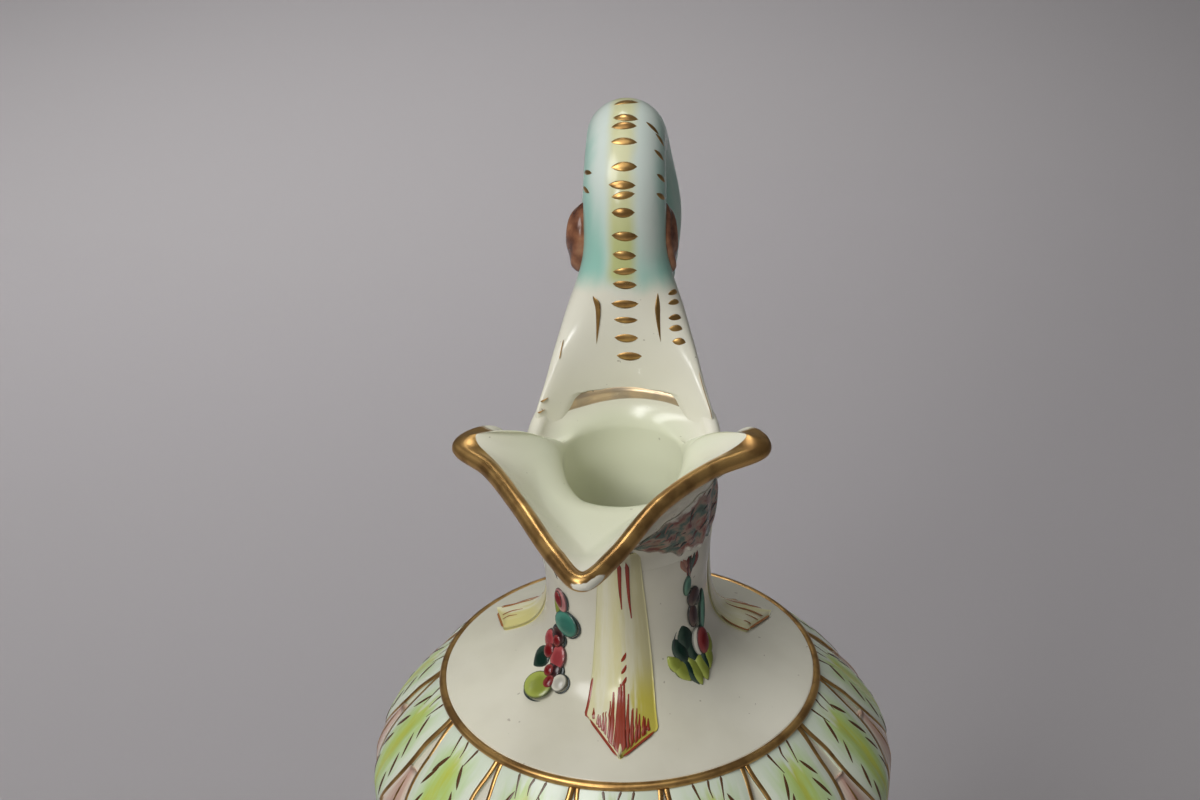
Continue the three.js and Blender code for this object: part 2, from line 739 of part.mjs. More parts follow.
function makeDrop(degrees) {
  const angle = THREE.MathUtils.degToRad(degrees);
  let cluster = null;
  for (let i = 0; i < dropFruits; i += 1) {
    const along = neckLength - fruitSize - i * fruitStep;
    const radius = neckOutline.getPointAt(along / neckLength).x;
    const sideways = i % 2 === 0 ? fruitStagger : -fruitStagger;
    const turn = angle + sideways / radius;
    const seat = onOutline(neckOutline, along, turn, 0);
    const out = onOutline(neckOutline, along, turn, 1).sub(seat);
    const fruit = new THREE.SphereGeometry(1, 7, 4);
    fruit.scale(fruitSize, fruitSize, fruitDepth);
    fruit.applyQuaternion(new THREE.Quaternion().setFromUnitVectors(up, out));
    fruit.translate(...seat.addScaledVector(out, fruitDepth + seatGap).toArray());
    const solid = toSolid(fruit);
    cluster = cluster ? cluster.add(solid) : solid;
  }
  return fromSolid(cluster);
}
addPiece('fruit_drop_right', makeDrop(dropAngleRight), fruitRed);
addPiece('fruit_drop_left', makeDrop(-dropAngleLeft), fruitRed);

export default jug;
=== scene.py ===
import math
from functools import partial
import bpy
import numpy as np
from mathutils import Matrix


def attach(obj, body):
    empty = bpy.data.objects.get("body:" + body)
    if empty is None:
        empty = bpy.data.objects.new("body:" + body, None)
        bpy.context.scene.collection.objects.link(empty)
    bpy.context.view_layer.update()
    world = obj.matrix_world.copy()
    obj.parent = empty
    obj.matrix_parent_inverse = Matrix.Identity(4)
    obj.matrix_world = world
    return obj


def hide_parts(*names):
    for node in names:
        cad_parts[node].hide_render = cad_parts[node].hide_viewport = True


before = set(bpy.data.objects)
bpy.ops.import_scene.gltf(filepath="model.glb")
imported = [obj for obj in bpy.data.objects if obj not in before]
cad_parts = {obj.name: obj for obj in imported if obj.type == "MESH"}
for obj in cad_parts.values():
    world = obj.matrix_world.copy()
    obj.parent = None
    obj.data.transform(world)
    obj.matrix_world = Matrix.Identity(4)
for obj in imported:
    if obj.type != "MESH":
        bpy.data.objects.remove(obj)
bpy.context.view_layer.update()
scene = bpy.context.scene
scene.view_settings.view_transform = "Standard"

mm = 0.001                         # sizes below are in millimetres
seamGap = 0.3                      # slip seam between the luted pieces
sunk = -0.3                        # how far relief reaches into the surface under it
hand = np.random.default_rng(14)   # unevenness of hand painting, always the same
bothSides = (-1, 1)


# curves and surfaces

def blend(a, b, t):
    return a + (b - a) * t


def easeStep(x, low, high):
    t = np.clip((np.asarray(x, float) - low) / (high - low), 0, 1)
    return t * t * (3 - 2 * t)


def unit(v):
    return v / np.maximum(np.linalg.norm(v, axis=-1, keepdims=True), 1e-12)


def runningLength(points, axis=0):
    steps = np.linalg.norm(np.diff(points, axis=axis), axis=-1)
    return np.concatenate([0 * steps.take([0], axis), np.cumsum(steps, axis=axis)], axis=axis)


def bezier(points, t):
    row = [np.asarray(p, float) for p in points]
    t = np.asarray(t, float)[..., None]
    while len(row) > 1:
        row = [a * (1 - t) + b * t for a, b in zip(row, row[1:])]
    return row[0]


def spline(points, share, closed=False, even=False):
    # Catmull-Rom through the points: centripetal, or uniform where even is asked for
    points = np.asarray(points, float)
    count = len(points)
    share = np.asarray(share, float)
    at = (share % 1.0) * count if closed else np.clip(share, 0, 1) * (count - 1)
    i = np.floor(at).astype(int)
    if closed:
        p0, p1, p2, p3 = (points[(i + k) % count] for k in (-1, 0, 1, 2))
    else:
        i = np.clip(i, 0, count - 2)
        longer = np.vstack([2 * points[0] - points[1], points, 2 * points[-1] - points[-2]])
        p0, p1, p2, p3 = (longer[i + k] for k in range(4))
    w = (at - i)[..., None]
    if even:
        m1, m2 = 0.5 * (p2 - p0), 0.5 * (p3 - p1)
    else:
        d0, d1, d2 = (np.maximum(np.linalg.norm(b - a, axis=-1, keepdims=True), 1e-8) ** 0.5
                      for a, b in ((p0, p1), (p1, p2), (p2, p3)))
        m1 = ((p1 - p0) / d0 - (p2 - p0) / (d0 + d1) + (p2 - p1) / d1) * d1
        m2 = ((p2 - p1) / d1 - (p3 - p1) / (d1 + d2) + (p3 - p2) / d2) * d1
    return (p1 + m1 * w + (-3 * p1 + 3 * p2 - 2 * m1 - m2) * w ** 2
            + (2 * p1 - 2 * p2 + m1 + m2) * w ** 3)


def alongSpline(points, share, **kind):
    step = 1e-4
    return unit(spline(points, share + step, **kind) - spline(points, share - step, **kind))


def tracePath(pieces, steps=200):
    # an outline of (radius, height) with its running length
    parts = [bezier(p, np.linspace(0, 1, steps + 1)) for p in pieces]
    line = np.vstack([parts[0]] + [p[1:] for p in parts[1:]])
    return line, runningLength(line)


def onPath(path, along):
    line, length = path
    ahead, behind = np.minimum(along + 0.05, length[-1]), np.maximum(along - 0.05, 0)
    radius, height = (np.interp(along, length, line[:, k]) for k in (0, 1))
    slope = unit(np.stack([np.interp(ahead, length, line[:, k]) - np.interp(behind, length, line[:, k])
                           for k in (0, 1)], -1))
    return radius, height, slope


def aroundAxis(radius, angle, height):
    # angles run from the lip at -Y by way of +X
    radius, angle, height = np.broadcast_arrays(np.asarray(radius, float), angle, height)
    return np.stack([radius * np.sin(angle), -radius * np.cos(angle), height], -1)


def onTurned(path, along, angle, lift=0.0):
    radius, height, slope = onPath(path, np.asarray(along, float))
    return aroundAxis(radius + slope[..., 1] * lift, angle, height - slope[..., 0] * lift)


def liftedOutline(path, steps, lift=0.0):
    radius, height, slope = onPath(path, np.linspace(0, path[1][-1], steps))
    return np.column_stack([radius + slope[:, 1] * lift, height - slope[:, 0] * lift])


def easeCorners(line, size=0.5, sharp=14):
    # small fillets wherever an outline turns by more than sharp degrees
    line = np.asarray(line, float)
    eased = [line[:1]]
    for before, corner, after in zip(line, line[1:], line[2:]):
        back, ahead = before - corner, after - corner
        turn = math.degrees(math.acos(np.clip(-unit(back) @ unit(ahead), -1, 1)))
        if turn < sharp:
            eased.append(corner[None])
            continue
        reach = min(size, 0.45 * np.linalg.norm(back), 0.45 * np.linalg.norm(ahead))
        eased.append(bezier([corner + unit(back) * reach, corner, corner + unit(ahead) * reach],
                            np.linspace(0, 1, 6)))
    return np.vstack(eased + [line[-1:]])


# meshes

def gridFaces(rows, columns, ringRows=False, ringColumns=False):
    i, j = np.meshgrid(np.arange(rows - (not ringRows)), np.arange(columns - (not ringColumns)),
                       indexing="ij")
    k, m = (i + 1) % rows, (j + 1) % columns
    return np.stack([i * columns + j, k * columns + j, k * columns + m, i * columns + m], -1).reshape(-1, 4)


def tubeFaces(rows, sides):
    # a tube whose two ends close on the two points that follow its own
    faces = gridFaces(rows, sides, ringColumns=True).tolist()
    ring = np.arange(sides)
    ahead = np.roll(ring, -1)
    hub, last = rows * sides, (rows - 1) * sides
    faces += np.column_stack([np.full(sides, hub), ring, ahead]).tolist()
    return faces + np.column_stack([np.full(sides, hub + 1), ahead + last, ring + last]).tolist()


def makeMesh(name, points, faces=(), edges=(), marks=None):
    mesh = bpy.data.meshes.new(name)
    mesh.from_pydata((np.reshape(points, (-1, 3)) * mm).tolist(), np.asarray(edges, int).tolist(),
                     [list(map(int, f)) for f in faces])
    for key, values in (marks or {}).items():
        values = np.asarray(values, np.float32)
        vector = values.ndim > 1
        layer = mesh.attributes.new(key, "FLOAT_VECTOR" if vector else "FLOAT", "POINT")
        layer.data.foreach_set("vector" if vector else "value", values.ravel())
    return mesh


def faceOutward(mesh):
    places = np.empty(len(mesh.vertices) * 3)
    mesh.vertices.foreach_get("co", places)
    mesh.calc_loop_triangles()
    corners = np.empty(len(mesh.loop_triangles) * 3, np.int32)
    mesh.loop_triangles.foreach_get("vertices", corners)
    a, b, c = places.reshape(-1, 3)[corners.reshape(-1, 3)].transpose(1, 0, 2)
    if np.sum(a * np.cross(b, c)) < 0:
        mesh.flip_normals()
    mesh.shade_smooth()


def plateMesh(name, rows, columns, surface, rowMark):
    # a closed plate on surface(row, across, lift, top), with row 0..1 and across -1..1
    row, across = np.meshgrid(np.linspace(0, 1, rows), np.linspace(-1, 1, columns), indexing="ij")
    points = np.concatenate([surface(row, across, 0.0, top).reshape(-1, 3) for top in (1.0, 0.0)])
    top = gridFaces(rows, columns)
    layer = rows * columns
    index = np.arange(layer).reshape(rows, columns)
    ring = np.concatenate([index[0], index[1:, -1], index[-1, -2::-1], index[-2:0:-1, 0]])
    wall = np.stack([ring, np.roll(ring, -1), np.roll(ring, -1) + layer, ring + layer], -1)
    faces = np.concatenate([top, top[:, ::-1] + layer, wall[:, ::-1]])
    marks = {"across": np.tile(across.ravel(), 2), rowMark: np.tile(row.ravel(), 2)}
    return makeMesh(name, points, faces, marks=marks)


def showPiece(name, mesh, slot, *nodes, material=None):
    if material:
        mesh.materials.append(material)
    faceOutward(mesh)
    piece = bpy.data.objects.new(name, mesh)
    scene.collection.objects.link(piece)
    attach(piece, "root")
    if nodes:
        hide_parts(*nodes)
    print(f"{name}: {len(mesh.polygons)} faces")


# node trees: a value is a number, a colour or a socket

def connect(node, links):
    for key, value in links.items():
        if isinstance(value, bpy.types.NodeSocket):
            node.id_data.links.new(value, node.inputs[key])
        else:
            node.inputs[key].default_value = value


def put(tree, kind, links=None, output=0, **settings):
    node = tree.nodes.new(kind)
    for key, value in settings.items():
        setattr(node, key, value)
    connect(node, links or {})
    return node.outputs[output]


def treeOf(*values):
    return next(value.id_data for value in values if isinstance(value, bpy.types.NodeSocket))


def calc(operation, *values):
    return put(treeOf(*values), "ShaderNodeMath", dict(enumerate(values)), operation=operation)


plus, minus, over = partial(calc, "ADD"), partial(calc, "SUBTRACT"), partial(calc, "DIVIDE")
larger, absolute = partial(calc, "MAXIMUM"), partial(calc, "ABSOLUTE")
addScaled = partial(calc, "MULTIPLY_ADD")


def times(value, *others):
    for other in others:
        value = calc("MULTIPLY", value, other)
    return value


def distance(x, y):
    return calc("SQRT", plus(calc("POWER", x, 2.0), calc("POWER", y, 2.0)))


def named(tree, name, kind="FLOAT"):
    return put(tree, "GeometryNodeInputNamedAttribute", {"Name": name}, data_type=kind)


def growTree(name, **sockets):
    tree = bpy.data.node_groups.new(name, "GeometryNodeTree")
    for label, kind in sockets.items():
        tree.interface.new_socket(label, in_out="INPUT", socket_type="NodeSocket" + kind)
    tree.interface.new_socket("Mesh", in_out="OUTPUT", socket_type="NodeSocketGeometry")
    return tree, tree.nodes.new("NodeGroupInput").outputs


def closeTree(tree, geometry, material):
    whole = put(tree, "GeometryNodeRealizeInstances", {"Geometry": geometry})
    painted = put(tree, "GeometryNodeSetMaterial", {"Geometry": whole, "Material": material})
    connect(tree.nodes.new("NodeGroupOutput"), {0: painted})
    return tree


def bakeNodes(name, tree, source, **values):
    carrier = bpy.data.objects.new(name, source)
    scene.collection.objects.link(carrier)
    modifier = carrier.modifiers.new("shape", "NODES")
    modifier.node_group = tree
    for item in tree.interface.items_tree:
        if item.in_out == "INPUT" and item.name in values:
            modifier[item.identifier] = values[item.name]
    graph = bpy.context.evaluated_depsgraph_get()
    mesh = bpy.data.meshes.new_from_object(carrier.evaluated_get(graph), depsgraph=graph)
    bpy.data.objects.remove(carrier)
    return mesh


def buildLathe():
    # turns an outline of points about Z and carries its gilding along
    tree, given = growTree("turnOutline", Outline="Geometry", Rounds="Int", Material="Material")
    outline = given["Outline"]
    size = put(tree, "GeometryNodeAttributeDomainSize", {"Geometry": outline}, "Point Count")
    grid = put(tree, "GeometryNodeMeshGrid",
               {"Vertices X": plus(given["Rounds"], 1.0), "Vertices Y": size}, "Mesh")
    index = put(tree, "GeometryNodeInputIndex")
    row = calc("FLOORED_MODULO", index, size)
    turn = times(calc("FLOOR", over(index, size)), over(math.tau, given["Rounds"]))
    here, gilt = (put(tree, "GeometryNodeSampleIndex", {"Geometry": outline, "Value": value, "Index": row},
                      data_type=kind)
                  for value, kind in ((put(tree, "GeometryNodeInputPosition"), "FLOAT_VECTOR"),
                                      (named(tree, "gilt"), "FLOAT")))
    turned = put(tree, "ShaderNodeVectorRotate", {"Vector": here, "Angle": turn}, rotation_type="Z_AXIS")
    marked = put(tree, "GeometryNodeStoreNamedAttribute", {"Geometry": grid, "Name": "gilt", "Value": gilt},
                 data_type="FLOAT")
    shaped = put(tree, "GeometryNodeSetPosition", {"Geometry": marked, "Position": turned})
    joined = put(tree, "GeometryNodeMergeByDistance", {"Geometry": shaped, "Distance": 1e-5})
    return closeTree(tree, joined, given["Material"])


def buildScatter():
    # one unit on every seat, turned by the seat's aim and out, sized by its size
    tree, given = growTree("seatUnits", Seats="Geometry", Unit="Object", Material="Material")
    aim, out, size = (named(tree, key, "FLOAT_VECTOR") for key in ("aim", "out", "size"))
    turn = put(tree, "FunctionNodeAxesToRotation", {"Primary Axis": aim, "Secondary Axis": out},
               primary_axis="X", secondary_axis="Z")
    seated = put(tree, "GeometryNodeInstanceOnPoints", {
        "Points": put(tree, "GeometryNodeMeshToPoints", {"Mesh": given["Seats"]}),
        "Instance": put(tree, "GeometryNodeObjectInfo", {"Object": given["Unit"]}, "Geometry"),
        "Rotation": turn, "Scale": size})
    return closeTree(tree, seated, given["Material"])


def buildSweep():
    # a round or flattened bead of varying girth along each line, flat side on the surface
    tree, given = growTree("drawLines", Lines="Geometry", Flatness="Float", Sides="Int", Material="Material")
    curve = put(tree, "GeometryNodeMeshToCurve", {"Mesh": given["Lines"]})
    out = named(tree, "out", "FLOAT_VECTOR")
    curve = put(tree, "GeometryNodeSetCurveNormal", {"Curve": curve, "Normal": out}, mode="FREE")
    curve = put(tree, "GeometryNodeSetCurveRadius", {"Curve": curve, "Radius": named(tree, "girth")})
    circle = put(tree, "GeometryNodeCurvePrimitiveCircle", {"Resolution": given["Sides"], "Radius": 1.0})
    scale = put(tree, "ShaderNodeCombineXYZ", {"X": given["Flatness"], "Y": 1.0, "Z": 1.0})
    section = put(tree, "GeometryNodeTransform", {"Geometry": circle, "Scale": scale})
    swept = put(tree, "GeometryNodeCurveToMesh",
                {"Curve": curve, "Profile Curve": section, "Fill Caps": True})
    if "Scale" in swept.node.inputs:
        connect(swept.node, {"Scale": put(tree, "GeometryNodeInputRadius")})
    return closeTree(tree, swept, given["Material"])


latheTree, scatterTree, sweepTree = buildLathe(), buildScatter(), buildSweep()


def showTurned(name, outline, gilt, rounds, node):
    points = np.column_stack([outline[:, 0], 0 * outline[:, 0], outline[:, 1]])
    source = makeMesh(name, points, marks={"gilt": gilt(outline[:, 0], outline[:, 1])})
    mesh = bakeNodes(name, latheTree, source, Rounds=rounds, Material=turnedGlaze)
    showPiece(name, mesh, "porcelain", node)


def seatUnits(name, unitMesh, places, aims, outs, sizes, material, **marks):
    helper = bpy.data.objects.new(name + "Unit", unitMesh)
    scene.collection.objects.link(helper)
    source = makeMesh(name, places, marks={"aim": aims, "out": outs, "size": sizes, **marks})
    mesh = bakeNodes(name, scatterTree, source, Unit=helper, Material=material)
    bpy.data.objects.remove(helper)
    return mesh


def ringOfUnits(name, unitMesh, count, first, material):
    turn = first + np.arange(count) * math.tau / count
    aims = np.stack([np.cos(turn), np.sin(turn), 0 * turn], -1)
    outs = np.tile([0, 0, 1.0], (count, 1))
    return seatUnits(name, unitMesh, np.zeros((count, 3)), aims, outs, np.ones((count, 3)), material,
                     number=np.arange(count))


# brush strokes: lines on a surface, collected and then swept in one go

strokeForms = {
    "tick": lambda t: np.sin(np.pi * t) ** 0.65,
    "drop": lambda t: np.minimum(1, 3.2 * t) ** 0.8 * (1 - t) ** 0.75 * 1.15,
    "line": lambda t: np.minimum(1, 9 * np.minimum(t, 1 - t)) ** 0.5,
    "tail": lambda t: np.minimum(1, 12 * t) ** 0.5 * (1 - 0.75 * t),
}
# least half width, the height that shows which way is out, and the corners of a stroke's section
strokeSizes = {"least": 0.03, "raised": 0.4, "sides": 8}


def newStrokes():
    return {"points": [], "out": [], "girth": [], "tint": [], "edges": [], "count": 0}


def addLine(strokes, surface, u, v, girths, tint=(1, 1, 1), lift=0.0, raised=strokeSizes["raised"]):
    base = surface(u, v, lift)
    count = len(base)
    ends = np.arange(count - 1)
    strokes["edges"].append(np.stack([ends, ends + 1], -1) + strokes["count"])
    strokes["points"].append(base)
    strokes["out"].append(unit(surface(u, v, raised) - base))
    strokes["girth"].append(np.maximum(girths, strokeSizes["least"]) * mm)
    strokes["tint"].append(np.tile(tint[:3], (count, 1)))
    strokes["count"] += count


def addStroke(strokes, surface, spots, width, form="tick", tint=(1, 1, 1), steps=9, lift=0.0):
    # spots are two or more places (u, v) on surface(u, v, lift)
    t = np.linspace(0, 1, steps)
    u, v = spline(spots, t).T
    girths = width / 2 * strokeForms[form](t)
    addLine(strokes, surface, u, v, girths, tint, lift, lift + strokeSizes["raised"])


def showStrokes(name, strokes, material, slot, flatness=0.16):
    marks = {key: np.concatenate(strokes[key]) for key in ("out", "girth", "tint")}
    points, edges = (np.concatenate(strokes[key]) for key in ("points", "edges"))
    source = makeMesh(name, points, edges=edges, marks=marks)
    mesh = bakeNodes(name, sweepTree, source, Flatness=flatness, Sides=strokeSizes["sides"],
                     Material=material)
    showPiece(name, mesh, slot)


def turnedBy(surface, turn):
    # the same surface, turned round the jug
    spin = np.array([[math.cos(turn), -math.sin(turn), 0], [math.sin(turn), math.cos(turn), 0], [0, 0, 1]])
    return lambda u, v, lift: surface(u, v, lift) @ spin.T


# materials

def rgb(red, green, blue):
    share = np.array([red, green, blue]) / 255
    linear = np.where(share <= 0.04045, share / 12.92, ((share + 0.055) / 1.055) ** 2.4)
    return (*linear.tolist(), 1.0)


def mark(tree, name, output="Fac"):
    return put(tree, "ShaderNodeAttribute", None, output, attribute_name=name)


def noise(tree, scale, detail=3.0, where=None, stretch=None):
    where = where or put(tree, "ShaderNodeTexCoord", None, "Object")
    if stretch:
        where = put(tree, "ShaderNodeMapping", {"Vector": where, "Scale": stretch})
    return put(tree, "ShaderNodeTexNoise", {"Vector": where, "Scale": scale, "Detail": detail})


def smooth(value, low, high):
    return put(treeOf(value), "ShaderNodeMapRange", {"Value": value, "From Min": low, "From Max": high},
               interpolation_type="SMOOTHSTEP")


def vary(value, low, high):
    return put(treeOf(value), "ShaderNodeMapRange", {"Value": value, "To Min": low, "To Max": high})


def mixColours(factor, a, b, kind="MIX"):
    return put(treeOf(factor, a, b), "ShaderNodeMix", {0: factor, 6: a, 7: b}, 2,
               data_type="RGBA", blend_type=kind)


def ramp(value, stops):
    colour = put(treeOf(value), "ShaderNodeValToRGB", {"Fac": value}, "Color")
    elements = colour.node.color_ramp.elements
    while len(elements) < len(stops):
        elements.new(0.5)
    for element, (place, *shade) in zip(elements, stops):
        element.position = place
        element.color = rgb(*shade)
    return colour


glazeLook = {
    "ivory": rgb(236, 233, 217), "clouds": rgb(229, 226, 205), "cloudScale": 22,     # scales are per metre
    "specks": rgb(120, 100, 80), "speckScale": 700,
    "poolAndShade": rgb(220, 229, 194),                # glaze where it runs thick, and painted shade deep in the throat
    "haze": rgb(186, 180, 160), "hazeScale": 34, "hazeLeast": 0.18, "hazeMore": 0.3,
    "roughness": 0.21, "glossScale": 60,
    "ripple": 0.35, "rippleScale": 420, "rippleDepth": 0.00006,
    "rippleLoss": 0.3,                           # under gilding
}
giltLook = {"bright": rgb(204, 162, 98), "dull": rgb(158, 120, 70), "patchScale": 160, "strokePatches": 240,
            "roughness": 0.32, "strokeGloss": (0.24, 0.36), "metal": 0.86, "speckleScale": 500, "waver": 140}


def startMaterial(name):
    material = bpy.data.materials.new(name)
    material.use_nodes = True
    tree = material.node_tree
    shader = tree.nodes["Principled BSDF"]
    shader.inputs["IOR"].default_value = 1.52
    return material, tree, shader


def glazed(name, paint):
    # paint(tree) gives the colour and the gilt mask, or None; glaze ripples, and less under gilding
    material, tree, shader = startMaterial(name)
    look, metal = glazeLook, giltLook
    colour, gilt = paint(tree)
    strength = look["ripple"] if gilt is None else addScaled(gilt, -look["rippleLoss"], look["ripple"])
    bump = put(tree, "ShaderNodeBump", {"Strength": strength, "Distance": look["rippleDepth"],
                                        "Height": noise(tree, look["rippleScale"], 2)})
    gloss = vary(noise(tree, look["glossScale"], 3), look["roughness"] * 0.8, look["roughness"] * 1.25)
    if gilt is not None:
        patchy = smooth(noise(tree, metal["patchScale"], 4), 0.38, 0.62)
        colour = mixColours(gilt, colour, mixColours(patchy, metal["dull"], metal["bright"]))
        speckle = noise(tree, metal["speckleScale"], 2)
        speckle = vary(speckle, metal["roughness"] * 0.85, metal["roughness"] * 1.2)
        gloss = put(tree, "ShaderNodeMix", {0: gilt, 2: gloss, 3: speckle})
        connect(shader, {"Metallic": times(gilt, metal["metal"])})
    connect(shader, {"Normal": bump, "Roughness": gloss, "Base Color": colour})
    return material


def ivoryGlaze(tree):
    look = glazeLook
    clouds = smooth(noise(tree, look["cloudScale"], 4), 0.35, 0.75)
    specks = times(smooth(noise(tree, look["speckScale"], 1), 0.77, 0.8), 0.5)
    return mixColours(specks, mixColours(clouds, look["ivory"], look["clouds"]), look["specks"])


def turnedPaint(tree):
    # a thin greyish haze in clouds, and uneven gilt lines
    look = glazeLook
    uneven = times(minus(noise(tree, giltLook["waver"], 3), 0.5), 0.5)
    clouds = smooth(noise(tree, look["hazeScale"], 4), 0.35, 0.75)
    haze = addScaled(clouds, look["hazeMore"], look["hazeLeast"])
    gilt = smooth(plus(mark(tree, "gilt"), uneven), 0.42, 0.56)
    return mixColours(haze, ivoryGlaze(tree), look["haze"]), gilt


def enamelPaint(tree):
    # overglaze colour that each stroke brings along
    thin = vary(noise(tree, 500, 3), 0.78, 1.12)
    tint = mark(tree, "tint", "Vector")
    return put(tree, "ShaderNodeVectorMath", {0: tint, "Scale": thin}, operation="SCALE"), None


def makeGilding():
    material, tree, shader = startMaterial("gilding")
    look = giltLook
    dull = smooth(noise(tree, look["strokePatches"], 4), 0.35, 0.7)
    connect(shader, {"Metallic": look["metal"], "Base Color": mixColours(dull, look["bright"], look["dull"]),
                     "Roughness": vary(noise(tree, look["speckleScale"], 2), *look["strokeGloss"])})
    return material


def streaks(tree, scale, across, row, squeeze):
    # streaks that run along each unit and differ from one to the next
    where = put(tree, "ShaderNodeCombineXYZ",
                {"X": across, "Y": times(row, squeeze), "Z": mark(tree, "number")})
    return minus(noise(tree, scale, 3, where), 0.5)


turnedGlaze, enamel = glazed("turnedGlaze", turnedPaint), glazed("enamel", enamelPaint)
gilding = makeGilding()
print("materials ready")

# foot

footSizes = {
    "height": 52, "radius": 42, "rimHeight": 9, "rimRound": 1.5, "ringWidth": 6, "wall": 5,
    "stem": 13, "knopBulge": 5, "knopHeight": 8, "tenonRadius": 7, "tenonLength": 8, "rounds": 216,
    "giltLines": ((6.6, 8.0), (46.8, 49.2)),     # heights of the gilded lines
    "giltFrom": 12,                              # and their least radius
}


def footOutline(s):
    stem, height, radius, rim, wall = (s[key] for key in ("stem", "height", "radius", "rimHeight", "wall"))
    socket, socketFloor = s["tenonRadius"] + seamGap, height - s["tenonLength"]
    trumpetTop = height - s["knopHeight"]
    pull = stem + s["knopBulge"] * 4 / 3
    ring, shelf, edge = radius - s["ringWidth"], radius - s["rimRound"], rim - s["rimRound"]
    t = np.linspace(0, 1, 33)
    outside = [
        bezier([(stem, height), (pull, height), (pull, trumpetTop), (stem, trumpetTop)], t),
        bezier([(stem, trumpetTop), (stem, blend(trumpetTop, rim, 0.75)),
                (blend(stem, radius, 0.55), rim + wall), (shelf, rim)], t)[1:],
        bezier([(shelf, rim), (radius, rim), (radius, edge)], t[::4])[1:],
        np.column_stack([np.full(8, radius), np.linspace(edge, 0, 9)[1:]]),
    ]
    hollow = bezier([(ring, 0), (ring, rim), (stem, rim), (stem - wall, socketFloor - wall)], t)
    top = [(0, socketFloor), (socket, socketFloor), (socket, height)]
    return easeCorners(np.vstack([top, *outside, hollow, [(0, socketFloor - wall)]]))


def footGilt(radius, height):
    lines = [easeStep(height, low - 0.4, low + 0.1) * (1 - easeStep(height, high - 0.1, high + 0.4))
             for low, high in footSizes["giltLines"]]
    return np.maximum(*lines) * (radius > footSizes["giltFrom"])


showTurned("jugFoot", footOutline(footSizes), footGilt, footSizes["rounds"], "foot")

# body and neck share the collar's levels

bodySizes = {"bellyRise": 123, "shoulderRise": 25, "shoulderWidth": 18, "wall": 4, "floor": 20, "rounds": 216,
             "giltStart": (1.2, 1.5), "giltEnd": (3.2, 3.6)}     # gilded line above the seam
neckSizes = {
    "collarRadius": 44, "collarEdge": 1.4, "collarPitch": 4, "flare": 6.3, "bore": 13.2, "sleeveWall": 3,
    "sleeveHeight": 10, "waist": 1, "rise": 42, "swell": 15, "plugRadius": 25, "plugDepth": 7,
    "seatWall": 3.5, "rounds": 256,
    "beadReach": 1.5, "beadDrop": 2.3,           # gilded bead round the collar
}

bodySeam = footSizes["height"] + seamGap
bellyHeight = bodySeam + bodySizes["bellyRise"]
bellyRadius = neckSizes["collarRadius"] + bodySizes["shoulderWidth"]
shoulderHeight = bellyHeight + bodySizes["shoulderRise"]
collarHeight = shoulderHeight + seamGap
collarTop = collarHeight + neckSizes["collarEdge"]
neckTop = collarHeight + neckSizes["rise"]
swellStart = neckTop - neckSizes["swell"]
sleeveTop = neckTop + neckSizes["sleeveHeight"]
rebateRadius = neckSizes["bore"] + neckSizes["sleeveWall"] + seamGap
neckTopRadius = rebateRadius + neckSizes["seatWall"]
neckRadius = neckTopRadius - neckSizes["waist"]
mouthSeam = neckTop + seamGap

bodyPath = tracePath([
    [(footSizes["stem"], bodySeam), (footSizes["stem"], bodySeam + bodySizes["floor"]),
     (bellyRadius, blend(bodySeam, bellyHeight, 0.4)), (bellyRadius, bellyHeight)],
    [(bellyRadius, bellyHeight), (bellyRadius, blend(bellyHeight, shoulderHeight, 0.25)),
     (blend(neckSizes["collarRadius"], bellyRadius, 0.5), blend(bellyHeight, shoulderHeight, 0.64)),
     (neckSizes["collarRadius"], shoulderHeight)],
])
neckPath = tracePath([
    [(neckSizes["collarRadius"], collarTop),
     (blend(neckRadius, neckSizes["collarRadius"], 0.3), collarTop + neckSizes["flare"]),
     (neckRadius, blend(collarHeight, swellStart, 0.35)), (neckRadius, swellStart)],
    [(neckRadius, swellStart), (neckRadius, blend(swellStart, neckTop, 0.6)),
     (neckTopRadius, blend(swellStart, neckTop, 0.4)), (neckTopRadius, neckTop)],
])
bodyLength, neckLength = bodyPath[1][-1], neckPath[1][-1]


def onNeck(along, degrees, lift=0.0):
    return onTurned(neckPath, along, np.radians(degrees), lift)


def bodyOutline(s):
    floor = bodySeam + s["floor"]
    opening = neckSizes["plugRadius"] + seamGap
    top = shoulderHeight + neckSizes["collarPitch"]
    peg, pegEnd = footSizes["tenonRadius"], bodySeam - footSizes["tenonLength"]
    hollow = liftedOutline(bodyPath, 90, -s["wall"])
    hollow = hollow[hollow[:, 1] > floor + s["wall"]][::-1]
    return easeCorners(np.vstack([[(0, pegEnd), (peg, pegEnd), (peg, bodySeam)], liftedOutline(bodyPath, 130),
                                  [(opening, top), (opening, top - s["wall"])], hollow, [(0, floor)]]))


def bodyGilt(radius, height):
    start, end = (easeStep(height, *(bodySeam + k for k in bodySizes[key]))
                  for key in ("giltStart", "giltEnd"))
    return start * (1 - end) * (radius > footSizes["stem"] - 0.5)


